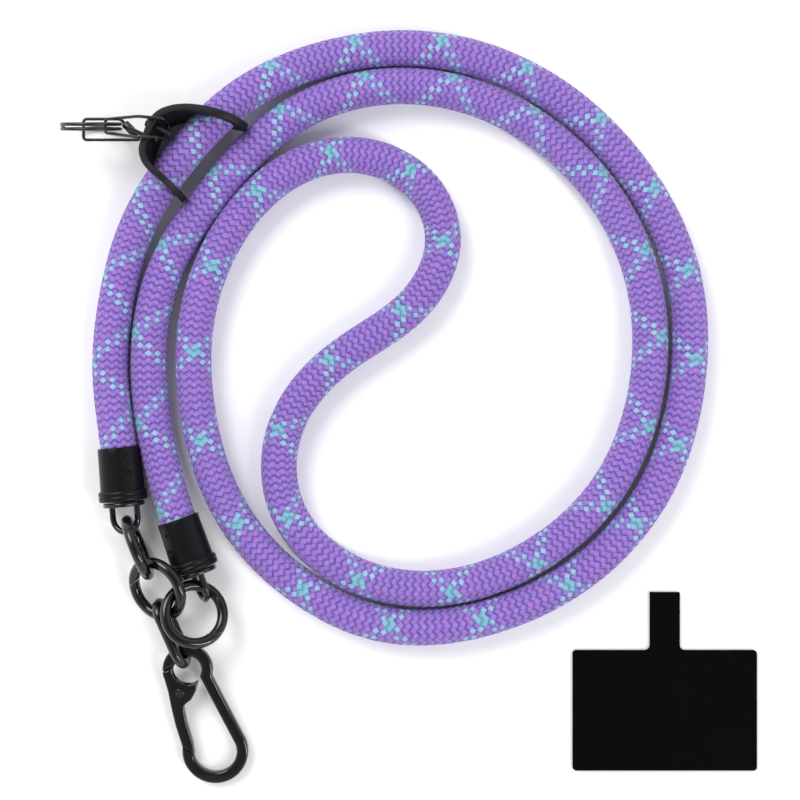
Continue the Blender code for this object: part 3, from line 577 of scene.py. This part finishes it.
for number, place, yaw, tilt, hinge, free in GATE_RINGS:
    turn = 1 if free > hinge else -1
    matrix = leaning(place, yaw, tilt)
    pivot, tip = on_ring(hinge), on_ring(free)
    cut_line = Matrix.Rotation(math.radians(-turn * CUT_TURN), 3, "Z") @ (tip - pivot).normalized()
    side = Vector((-cut_line.y, cut_line.x, 0))
    size = (RING_WIRE * 2,) * 3
    upright = Vector((0, 0, 1))
    body = ring_arc(f"gate_ring_{number}_body", free - turn * 8, hinge + turn * 360)
    cut(body, ball_at(pivot, RING_WIRE / 2 + PLAY))
    cut(body, block_at(basis(tip - cut_line * RING_WIRE, cut_line, side, upright), size))
    soften(body, SOFT_EDGE)
    dress(body, gloss_black, root, [f"gate_ring_{number}"], matrix)
    leaf = ring_arc(f"gate_ring_{number}_leaf", hinge, free + turn * 8)
    cut(leaf, ball_at(pivot, RING_WIRE / 2), "UNION")
    cut(leaf, block_at(basis(tip + cut_line * (RING_WIRE - PLAY), cut_line, side, upright), size))
    soften(leaf, SOFT_EDGE)
    dress(leaf, gloss_black, f"ring_{number}_gate", [f"gate_ring_{number}_gate"], matrix)

# %% [markdown]
# The joining link is a plain closed link of the same wire: two straight sides and
# two half-turns.

# %% Joining link
LINK_LENGTH, LINK_WIDTH, LINK_WIRE = 25 * MM, 12.8 * MM, 3.4 * MM
half = (LINK_WIDTH - LINK_WIRE) / 2
straight = (LINK_LENGTH - LINK_WIRE) / 2 - half
half_turn = ("turn", half, 180)
link = bend_wire("joining_link_ring", LINK_WIRE / 2, (0, -half), 0,
                 [("run", straight), half_turn, ("run", straight * 2), half_turn, ("run", straight)],
                 sides=24, closed=True)
yaw, tilt, spin = (math.radians(a) for a in (-158.0, 99.6, -6.0))
normal = Vector((math.sin(tilt) * math.cos(yaw), math.sin(tilt) * math.sin(yaw), math.cos(tilt)))
flat = Vector((-math.sin(yaw), math.cos(yaw), 0))
lie = flat * math.cos(spin) + normal.cross(flat) * math.sin(spin)
dress(link, gloss_black, root, ["joining_link"],
      basis((-0.07893, -0.06045, 0.00715), lie, normal.cross(lie), normal))

# %% [markdown]
# Each end of the rope is pressed into a drawn metal cup. A turned piece is one
# profile taken round an axis: a single point is extruded from corner to corner,
# then spun a full turn. Two small dents on top are where the press closed the cup
# on the rope.

# %% Turning a profile
def turned(name, profile, steps=72):
    """A point extruded along (radius, height) corners, then spun about Z."""
    select_only()
    bpy.ops.mesh.primitive_plane_add(size=0.001)
    obj = bpy.context.object
    obj.name = name
    bpy.ops.object.mode_set(mode="EDIT")
    bpy.ops.mesh.select_all(action="SELECT")
    bpy.ops.mesh.merge(type="CENTER")
    bpy.ops.transform.translate(value=(profile[0][0], 0, profile[0][1]))
    for before, after in zip(profile, profile[1:]):
        step = (after[0] - before[0], 0, after[1] - before[1])
        bpy.ops.mesh.extrude_vertices_move(TRANSFORM_OT_translate={"value": step})
    bpy.ops.mesh.select_all(action="SELECT")
    bpy.ops.mesh.spin(steps=steps, angle=2 * math.pi, center=(0, 0, 0), axis=(0, 0, 1))
    close_up(0.000005)
    return obj


def aimed(place, aim, roll=0.0):
    """Where a piece goes whose -Z runs along aim, rolled about it."""
    z = -aim.normalized()
    x = Matrix.Rotation(math.radians(roll), 3, z) @ z.cross(Vector((0, 0, 1))).normalized()
    return basis(place, x, z.cross(x), z)


# %% Cups and their loops
CUP_LENGTH = 17.6 * MM
BORE = 6.02 * MM
CUP_WALL = 0.85 * MM
SHELL = BORE + CUP_WALL
RIM = SHELL + 0.35 * MM
COLLAR = RIM + 0.75 * MM
COLLAR_TOP = CUP_LENGTH - 3.6 * MM
CUP_PROFILE = [
    (0, -15.0 * MM), (BORE, -15.0 * MM), (BORE, -0.35 * MM), (BORE + 0.12 * MM, -0.1 * MM),
    (BORE + 0.35 * MM, 0), (SHELL - 0.3 * MM, 0), (SHELL - 0.08 * MM, -0.1 * MM), (SHELL, -0.35 * MM),
    (SHELL + 0.02 * MM, -3.0 * MM), (SHELL + 0.16 * MM, -8.0 * MM), (RIM, -(COLLAR_TOP - 0.5 * MM)),
    (RIM + 0.02 * MM, -COLLAR_TOP), (RIM + 0.45 * MM, -(COLLAR_TOP + 0.15 * MM)),
    (COLLAR, -(COLLAR_TOP + 0.7 * MM)), (COLLAR, -(COLLAR_TOP + 1.5 * MM)),
    (COLLAR - 0.22 * MM, -(COLLAR_TOP + 1.75 * MM)), (COLLAR, -(COLLAR_TOP + 2.0 * MM)),
    (COLLAR, -(CUP_LENGTH - 0.6 * MM)), (COLLAR - 0.15 * MM, -(CUP_LENGTH - 0.18 * MM)),
    (COLLAR - 0.6 * MM, -CUP_LENGTH), (0, -CUP_LENGTH),
]
LOOP_WIRE, LOOP_WIDTH, LOOP_REACH, DISC = 2.0 * MM, 11.5 * MM, 8.55 * MM, 1.5 * MM
ROOTED = 0.6 * MM
DENT_RADIUS, DENT_OUT = 0.95 * MM, 0.4 * MM
CUPS = [
    (1, CUP_1_MOUTH, CUP_1_AIM, -23.1, [(3.3, 29), (8.6, 30)]),
    (2, CUP_2_MOUTH, CUP_2_AIM, -66.6, [(4.4, -40), (9.6, -49)]),
]
for number, mouth, aim, loop_roll, dents in CUPS:
    cup = turned(f"cup_{number}", CUP_PROFILE, 96)
    matrix = aimed(mouth, aim)
    cup.data.transform(matrix)
    crest = Vector((0, 0, 1))
    across_cup = crest.cross(aim).normalized()
    for depth, turn_degrees in dents:
        angle = math.radians(turn_degrees)
        out = crest * math.cos(angle) + across_cup * math.sin(angle)
        cut(cup, ball_at(mouth + aim * depth * MM + out * (SHELL + DENT_OUT), DENT_RADIUS))
    dress(cup, satin_black, root, [f"end_cap_{number}"], smooth_degrees=50)
    half = (LOOP_WIDTH - LOOP_WIRE) / 2
    leg = ("run", LOOP_REACH - half + ROOTED)
    loop = bend_wire(f"cup_loop_{number}", LOOP_WIRE / 2, (half, ROOTED), -90, [leg, ("turn", half, -180), leg])
    loop.data.transform(Matrix.Translation((0, 0, -DISC)) @ Matrix.Rotation(math.pi / 2, 4, "X"))
    disc_radius = COLLAR - 1.15 * MM
    disc = turned(f"loop_disc_{number}", [
        (0, 0), (disc_radius - 0.3 * MM, 0), (disc_radius, -0.3 * MM), (disc_radius, -(DISC - 0.3 * MM)),
        (disc_radius - 0.3 * MM, -DISC), (0, -DISC)], 64)
    cut(loop, disc, "UNION")
    base = mouth + aim * (CUP_LENGTH + 0.32 * MM)
    dress(loop, gloss_black, root, [f"cap_loop_{number}"], aimed(base, aim, loop_roll))

# %% [markdown]
# The carabiner is cast flat, with broad bevels on its edges, so its outline is
# drawn first. Its points are arcs of two circles, the small head and the large
# foot. The outline is filled, raised to its thickness, and its rims are bevelled.
# The gate is a second casting that turns on a rivet, round a thin lug.

# %% Carabiner outlines
def arc_points(centre, radius, start, end, count):
    found = []
    for k in range(count + 1):
        angle = math.radians(start + (end - start) * k / count)
        found.append((centre[0] + radius * math.cos(angle), centre[1] + radius * math.sin(angle)))
    return found


def curve_to_mesh(name, points, closed, merge_within, **settings):
    """A curve through the points, with these settings, turned into a closed mesh."""
    curve = bpy.data.curves.new(name, "CURVE")
    for label, value in settings.items():
        setattr(curve, label, value)
    run = curve.splines.new("POLY")
    run.points.add(len(points) - 1)
    for slot, point in zip(run.points, points):
        slot.co = (*point, 1)
    run.use_cyclic_u = closed
    select_only(put_in_scene(name, curve))
    bpy.ops.object.convert(target="MESH")
    close_up(merge_within)
    return bpy.context.object


def flat_plate(name, outline, thickness, bevel, segments=3):
    """The outline as a filled curve, raised to its thickness with rounded rims."""
    return curve_to_mesh(name, [(x, y, 0) for x, y in outline], True, 0.000001,
                         dimensions="2D", fill_mode="BOTH", extrude=thickness / 2 - bevel,
                         bevel_depth=bevel, bevel_resolution=segments, offset=-bevel)


HEAD, FOOT = (-8.75 * MM, 27.6 * MM), (0.0, 0.0)
HEAD_OUTER, FOOT_OUTER, BAR = 8.3 * MM, 10.9 * MM, 3.8 * MM
THICK, SPLIT = 3.3 * MM, 0.35 * MM
RIVET = (-11.2 * MM, 20.0 * MM)
head_inner, foot_inner = HEAD_OUTER - BAR, FOOT_OUTER - BAR
frame_outline = arc_points(HEAD, HEAD_OUTER, 184, -14, 48) + arc_points(FOOT, FOOT_OUTER, 24, -187, 60)
frame_outline += arc_points(FOOT, foot_inner, -170, 20, 48) + arc_points(HEAD, head_inner, -30, 162, 36)
low_out = Vector(arc_points(FOOT, FOOT_OUTER + 0.1 * MM, -187, -187, 1)[0])
low_in = Vector(arc_points(FOOT, foot_inner, -170, -170, 1)[0])
away = (low_out - low_in).normalized()
lift = Vector((-away.y, away.x)) * SPLIT
lift = lift if lift.y > 0 else -lift
low_out, low_in = low_out + lift - Vector((0.1 * MM, 0)), low_in + lift


def by_rivet(x, y):
    return (RIVET[0] + x * MM, RIVET[1] + y * MM)


def on_head(radius, degrees):
    return arc_points(HEAD, radius, degrees, degrees, 1)[0]


spread = math.degrees(SPLIT / HEAD_OUTER)
gate_outline = [on_head(HEAD_OUTER, angle) for angle in (184 + spread * 1.05, 188, 192, 197, 202)]
gate_outline += [by_rivet(x, y) for x, y in ((-4.1, 0.4), (-3.2, -4.6), (-1.8, -11.1))]
gate_outline += [tuple(low_out), tuple(low_in), (low_in[0] - 0.5 * MM, low_in[1] + 4.0 * MM)]
gate_outline += [by_rivet(x, y) for x, y in (
    (1.9, -10.0), (1.0, -4.9), (1.6, -4.0), (3.6, -2.4), (5.0, 0.2), (5.9, 3.6))]
gate_outline += arc_points(HEAD, head_inner + 0.45 * MM, -58, -184, 24)
gate_outline += [on_head(head_inner, 162 + math.degrees(SPLIT / head_inner) * 1.1)]
print("corners of the frame and of the gate:", len(frame_outline), len(gate_outline))

# %% Carabiner pieces
tilt = math.radians(5.7)
hook_place = basis((-0.0651, -0.0999, 0.00285), Vector((1, 0, 0)), Vector((0, math.cos(tilt), math.sin(tilt))),
                   Vector((0, -math.sin(tilt), math.cos(tilt))))
hook = flat_plate("carabiner_body", frame_outline, THICK, 0.85 * MM)
lug_line, lug_half = HEAD_OUTER - BAR / 2, 0.95 * MM
lug_outline = arc_points(HEAD, lug_line + lug_half, 168, 206, 10) + arc_points(RIVET, 3.0 * MM, 180, 400, 36)
lug_outline += arc_points(HEAD, lug_line - lug_half, 215, 156, 14)
cut(hook, flat_plate("lug", lug_outline, 1.2 * MM, 0), "UNION")
hole = turned("rivet_hole", [(0, 6 * MM), (1.27 * MM, 6 * MM), (1.27 * MM, -6 * MM), (0, -6 * MM)], 48)
hole.data.transform(Matrix.Translation((*RIVET, 0)))
cut(hook, hole, keep=True)
dress(hook, gloss_black, root, ["carabiner_frame"], hook_place)
gate = flat_plate("carabiner_gate_bar", gate_outline, THICK, 0.55 * MM)
slot_middle = (*by_rivet(3.32 - 5.5, 7 - 3.32), 0)
cut(gate, block_at(Matrix.Translation(slot_middle), (11 * MM, 14 * MM, 1.84 * MM)))
cut(gate, hole)
dress(gate, gloss_black, "hook_gate", ["carabiner_gate"], hook_place)
RIVET_HEAD = [(0, 0.4), (0.35, 0.4), (0.5, 0.28), (0.62, 0.28), (0.75, 0.4), (1.2, 0.4), (1.42, 0.3),
              (1.5, 0.15), (1.5, 0), (0.95, 0)]
top = THICK / 2 + 0.32 * MM
pin = turned("hook_rivet", [(x * MM, top + z * MM) for x, z in RIVET_HEAD]
             + [(0.95 * MM, -THICK / 2), (0, -THICK / 2)], 48)
dress(pin, wire_black, root, ["gate_pin"], hook_place @ Matrix.Translation((*RIVET, 0)))

# %% [markdown]
# The small hanging chain is a split ring, coiled a little under two turns, and two
# bent wire links. All three follow lines that leave the flat, so they are curves
# with a round section, turned into meshes. The ring's line runs level and climbs
# to its second turn in one short step, as on a real split ring.

# %% Small chain
def soft_corners(corners, radius, steps, closed):
    """Each corner of a line in space, replaced by a short smooth bend."""
    found = []
    for k, here in enumerate(corners):
        if not closed and k in (0, len(corners) - 1):
            found.append(here)
            continue
        before, after = corners[k - 1], corners[(k + 1) % len(corners)]
        start = here + (before - here).normalized() * min(radius, (before - here).length * 0.45)
        end = here + (after - here).normalized() * min(radius, (after - here).length * 0.45)
        for j in range(steps + 1):
            t = j / steps
            found.append(start * (1 - t) ** 2 + here * 2 * t * (1 - t) + end * t * t)
    return found


def curve_wire(name, points, radius, closed):
    """A wire along points in space."""
    return curve_to_mesh(name, points, closed, 0.00001,
                         dimensions="3D", bevel_depth=radius, bevel_resolution=4, use_fill_caps=not closed)


LINK_A = [(-107.3, 108.0, 10.4), (-95.2, 108.0, 10.4), (-88.7, 101.2, 10.4), (-107.3, 101.2, 10.4)]
LINK_B = [(-99.4, 102.8, 14.4), (-99.4, 107.2, 14.4), (-87.5, 106.6, 23.2), (-79.3, 105.9, 23.2),
          (-78.6, 105.1, 16.5), (-78.6, 100.4, 16.5), (-81.6, 100.0, 23.2), (-88.0, 100.0, 23.2)]
for name, corners, bend in (("chain_link_a", LINK_A, 1.2), ("chain_link_b", LINK_B, 1.0)):
    line = soft_corners([Vector(c) * MM for c in corners], bend * MM, 8, True)
    piece = curve_wire(name + "_wire", line, 0.5 * MM, True)
    dress(piece, wire_black, root, [name])
COIL_TURNS, COIL_RADIUS, COIL_RISE = 1.9, 9.5 * MM, 1.52 * MM
coil = []
for k in range(161):
    turn = COIL_TURNS * k / 160
    step = min(max((turn - 0.9) / 0.1, 0), 1)
    step = step * step * (3 - 2 * step)
    angle = turn * 2 * math.pi + math.radians(200)
    coil.append((COIL_RADIUS * math.cos(angle), COIL_RADIUS * math.sin(angle), (step - 0.5) * COIL_RISE))
split_ring = curve_wire("split_ring_coil", coil, 0.6 * MM, False)
lean = math.radians(10)
up = Vector((0, -math.sin(lean), math.cos(lean)))
dress(split_ring, wire_black, root, ["split_ring"],
      basis((-0.1048, 0.1056, 0.01025), Vector((1, 0, 0)), up, Vector((1, 0, 0)).cross(up)))

# %% [markdown]
# The slider is a flat strip with round ends. It folds over on itself, and the
# rope passes through a hole in each half. On the real one it is cut flat and then
# bent, and so it is here: an outline is raised to its thickness, sliced across so
# that it can bend, and each point moved to its place along the fold. The rope's
# own route cuts the holes, and the cut edges are softened.

# %% Slider strip
STRIP_PATH = [
    (-53.8, 105.2), (-64.1, 108.7), (-68.9, 109.6), (-73.9, 109.8), (-77.9, 109.1), (-81.1, 107.6), (-83.6, 104.6),
    (-85.3, 100.2), (-86.3, 96.9), (-85.9, 93.9), (-84.3, 91.2), (-81.4, 88.6), (-74.2, 81.4),
]
STRIP_HEIGHT, STRIP_THICK, STRIP_LIFT, SLICE = 22 * MM, 2.2 * MM, 0.1 * MM, 0.9 * MM
ROPE_HOLE = 5.98 * MM
fold = spline([(x * MM, y * MM) for x, y in STRIP_PATH], 241)
strip_length = float(np.linalg.norm(np.diff(fold, axis=0), axis=1).sum())


def fold_at(share):
    """The place on the fold, and the directions along it and outwards, at a share of its length."""
    at = min(max(share, 0) * (len(fold) - 1), len(fold) - 1.001)
    k = int(at)
    place = fold[k] + (fold[k + 1] - fold[k]) * (at - k)
    ahead = fold[min(k + 3, len(fold) - 1)] - fold[max(k - 2, 0)]
    ahead = ahead / np.linalg.norm(ahead)
    return place, ahead, np.array((ahead[1], -ahead[0]))


half = STRIP_HEIGHT / 2
outline = arc_points((half, 0), half, 270, 90, 32) + arc_points((strip_length - half, 0), half, 90, -90, 32)
strip = flat_plate("slider_band", outline, STRIP_THICK, 0.3 * MM, 2)
bpy.ops.object.mode_set(mode="EDIT")
for at in np.arange(SLICE, strip_length - 0.4 * MM, SLICE):
    bpy.ops.mesh.select_all(action="SELECT")
    bpy.ops.mesh.bisect(plane_co=(at, 0, 0), plane_no=(1, 0, 0))
bpy.ops.object.mode_set(mode="OBJECT")
strip_uv = strip.data.uv_layers.new(name="flat")
for corner in strip.data.loops:
    flat_place = strip.data.vertices[corner.vertex_index].co
    strip_uv.data[corner.index].uv = (flat_place.x / 0.1, flat_place.y / 0.1)
for vert in strip.data.vertices:
    place, ahead, outward = fold_at(vert.co.x / strip_length)
    at_side = place + outward * vert.co.z
    vert.co = (at_side[0], at_side[1], vert.co.y + half + STRIP_LIFT)
for near in (STRIP_PATH[1], STRIP_PATH[-2]):
    distance = np.hypot(*(centre_line[:, :2] - np.array(near) * MM).T)
    best = int(distance.argmin())
    run = centre_line[max(best - 42, 0):best + 43:3]
    cut(strip, curve_wire("rope_way", run, ROPE_HOLE, False))
soften(strip, 0.22 * MM, 55)
print("strip length flat:", round(strip_length / MM, 1), "mm")

# %% Strip material
band_look, tree, shader = new_material("black_band")
object_place = tree.nodes.new("ShaderNodeTexCoord").outputs["Object"]
cells = tree.nodes.new("ShaderNodeTexVoronoi")
set_inputs(cells, Vector=object_place, Scale=1500)
soft = noise(object_place, 220, 3.0)
grain = plus(times(cells.outputs["Distance"], 0.6), times(soft, 0.6))
set_inputs(shader, Base_Color=mixed(soft, (0.002, 0.002, 0.0024, 1), (0.006, 0.006, 0.007, 1)),
           Roughness=plus(0.42, times(soft, 0.2)), Specular_IOR_Level=0.3,
           Normal=bump(grain, 0.00008, 0.7))
dress(strip, band_look, root, ["slider_strip"], smooth_degrees=40)

# %% [markdown]
# Two small metal fittings go through the strip at the fold. One ends in a sleeve
# round the lower wire link. The other is a stud with a ribbed barrel inside the
# fold, which the upper link hooks round.

# %% Fittings in the strip
place, ahead, outward = fold_at(0.53)
wall = STRIP_THICK / 2 + 0.32 * MM
STUD_HEAD = [(0, 0.8), (0.9, 0.8), (1.35, 0.68), (1.55, 0.4), (1.6, 0.2), (1.6, 0), (0.65, 0)]
RIB, RIBS, BARREL = [(0.98, 0), (1.17, 0.16), (1.2, 0.34), (1.17, 0.52)], 7, 5.2 * MM
profile = [(x * MM, wall + z * MM) for x, z in STUD_HEAD] + [(0.65 * MM, -wall)]
for k in range(RIBS):
    profile += [(x * MM, -wall - k * BARREL / RIBS - z * MM) for x, z in RIB]
profile += [(0.98 * MM, -wall - BARREL), (0, -wall - BARREL)]
stud = turned("fold_stud_ribbed", profile, 40)
dress(stud, wire_black, root, ["fold_stud"],
      aimed((place[0], place[1], 18.6 * MM), Vector((-outward[0], -outward[1], 0))), smooth_degrees=30)

# %% The connector and its sleeve
a, b = Vector(LINK_A[1]) * MM, Vector(LINK_A[2]) * MM
middle, direction = (a + b) / 2, (b - a).normalized()
flat_side = Vector((-direction.y, direction.x, 0))
place, ahead, outward = fold_at(0.585)
SLEEVE_HEIGHT = 12.2 * MM
fitting_wall = Vector((place[0], place[1], SLEEVE_HEIGHT))
out = Vector((outward[0], outward[1], 0))
inner = fitting_wall - out * (STRIP_THICK / 2 + 1.12 * MM)
shaft = [Vector((middle.x, middle.y, SLEEVE_HEIGHT)), fitting_wall + out * 2.2 * MM, inner + out * 0.2 * MM]
connector = curve_wire("strip_connector_sleeve", soft_corners(shaft, 1.2 * MM, 8, False), 0.7 * MM, False)


def turned_mm(name, profile, steps, matrix):
    """A turned piece given in millimetres, moved to its place."""
    obj = turned(name, [(x * MM, z * MM) for x, z in profile], steps)
    obj.data.transform(matrix)
    return obj


round_link = basis(middle, flat_side, direction.cross(flat_side), direction)
SLEEVE = [(0, 2.75), (1.15, 2.75), (1.4, 2.5), (1.4, -2.5), (1.15, -2.75), (0, -2.75)]
INNER_HEAD = [(0, 0.4), (1.4, 0.4), (1.6, 0.2), (1.6, -0.4), (0, -0.4)]
cut(connector, turned_mm("sleeve", SLEEVE, 40, round_link), "UNION")
cut(connector, turned_mm("inner_head", INNER_HEAD, 40, aimed(inner + out * 0.4 * MM, out)), "UNION")
cut(connector, turned_mm("sleeve_bore", [(0, 5), (0.82, 5), (0.82, -5), (0, -5)], 32, round_link))
dress(connector, wire_black, root, ["strip_connector"])

# %% [markdown]
# The tether patch is a flat piece of coated cloth that goes inside a phone's case.
# It is cut from one sheet, with a narrow tab. A shallow crease across the tab
# marks where its end is pressed down. The cloth is a plain weave, finer than a
# millimetre, so the weave is in the material, with painted shade in the gaps
# between the threads, and the mesh has only the outline, the crease and a soft edge.

# %% Patch
left, right, bottom, upper = 53.5 * MM, 114.86 * MM, -107.1 * MM, -67.0 * MM
TAB = (79.2 * MM, 89.2 * MM, -47.7 * MM)
r, f, t = 1.2 * MM, 1.7 * MM, 0.3 * MM
outline = []
for x, y, radius, start, end, count in (
        (left + r, bottom + r, r, 180, 270, 10), (right - r, bottom + r, r, 270, 360, 10),
        (right - r, upper - r, r, 0, 90, 10), (TAB[1] + f, upper + f, f, 270, 180, 10),
        (TAB[1] - t, TAB[2] - t, t, 0, 90, 4), (TAB[0] + t, TAB[2] - t, t, 90, 180, 4),
        (TAB[0] - f, upper + f, f, 0, -90, 10), (left + r, upper - r, r, 90, 180, 10)):
    outline += arc_points((x, y), radius, start, end, count)
patch = flat_plate("tether_patch", outline, 1.15 * MM, 0.22 * MM)
patch.data.transform(Matrix.Translation((0, 0, 0.6 * MM)))
select_only(patch)
CREASE, CREASE_HALF, CREASE_DEPTH = -51.0, 0.4, 0.22 * MM
bpy.ops.object.mode_set(mode="EDIT")
for at in (CREASE + CREASE_HALF, CREASE, CREASE - CREASE_HALF):
    bpy.ops.mesh.select_all(action="SELECT")
    bpy.ops.mesh.bisect(plane_co=(0, at * MM, 0), plane_no=(0, 1, 0))
bpy.ops.object.mode_set(mode="OBJECT")
creased = [vert for vert in patch.data.vertices
           if abs(vert.co.y - CREASE * MM) < 0.00001 and vert.co.z > 0.9 * MM]
for vert in creased:
    vert.co.z -= CREASE_DEPTH
print("points in the crease:", len(creased))

# %% Patch material
cloth, tree, shader = new_material("woven_cloth")
object_place = tree.nodes.new("ShaderNodeTexCoord").outputs["Object"]
x, y = parts_of(object_place)[:2]
THREAD = 0.42 * MM
warp, weft = (size_of(sine(times(part, math.pi / THREAD))) for part in (x, y))
odd = wrapped(plus(whole_of(divided(x, THREAD)), whole_of(divided(y, THREAD))), 2.0)
warp_on_top = times(power(warp, 0.5), plus(0.4, times(weft, 0.6)))
weft_on_top = times(power(weft, 0.5), plus(0.4, times(warp, 0.6)))
weave = plus(warp_on_top, times(odd, minus(weft_on_top, warp_on_top)))
lint, cloud = noise(object_place, 900), noise(object_place, 60, 3.0)
# Painted shade: the gaps between the threads, low in the weave, are darker than the threads' tops.
base = mixed(weave, (0.0002, 0.0002, 0.0003, 1), (0.0018, 0.0018, 0.0026, 1))
set_inputs(shader, Base_Color=mixed(times(cloud, 0.3), base, (0.003, 0.003, 0.0045, 1)),
           Roughness=plus(0.72, times(lint, 0.2)), Specular_IOR_Level=0.04,
           Normal=bump(plus(weave, times(lint, 0.3)), 0.0001, 0.8))
dress(patch, cloth, root, ["patch"], smooth_degrees=40)

# %% [markdown]
# The strap lies on white paper in a bright, even light, as small goods are
# photographed. The walls of the room are white and its ceiling is darker, so that
# flat black metal stays black and its rounded edges catch the light all round.
# Two soft lights stand on opposite sides, the larger at the upper left.

# %% Floor and light
bpy.ops.object.select_all(action="DESELECT")
bpy.ops.mesh.primitive_plane_add(size=9.0, location=(0, 0, 0))
floor = bpy.context.object
floor.name = "white_table"
paper, tree, shader = new_material("white_paper")
set_inputs(shader, Base_Color=(0.93, 0.93, 0.935, 1), Roughness=0.9, Specular_IOR_Level=0.1)
floor.data.materials.append(paper)


def soft_light(name, place, size, watts):
    """A rectangle of light that faces the middle of the table."""
    data = bpy.data.lights.new(name, "AREA")
    data.shape = "RECTANGLE"
    data.size, data.size_y = size
    data.energy = watts
    lamp = put_in_scene(name, data)
    lamp.location = place
    lamp.rotation_euler = (-Vector(place)).to_track_quat("-Z", "Y").to_euler()


soft_light("upper_left", (-0.75, 0.85, 1.1), (0.85, 0.85), 17)
soft_light("lower_right", (0.85, -0.55, 0.95), (0.12, 0.9), 9)
print("floor and two lights placed")

# %% The bright room
world = bpy.data.worlds.new("bright_room")
world.use_nodes = True
nodes = world.node_tree.nodes
fall = nodes.new("ShaderNodeMapRange")
set_inputs(fall, Value=parts_of(nodes.new("ShaderNodeTexCoord").outputs["Generated"])["Z"],
           From_Min=0.45, From_Max=0.93, To_Min=1.1, To_Max=0.27)
set_inputs(nodes["Background"], Color=(1, 1, 1, 1), Strength=fall.outputs["Result"])
scene = bpy.context.scene
scene.world = world
scene.view_settings.view_transform = "Standard"
scene.view_settings.look = "None"
scene.view_settings.exposure = 0.0
print("room light from walls to ceiling: 1.1 to 0.27")
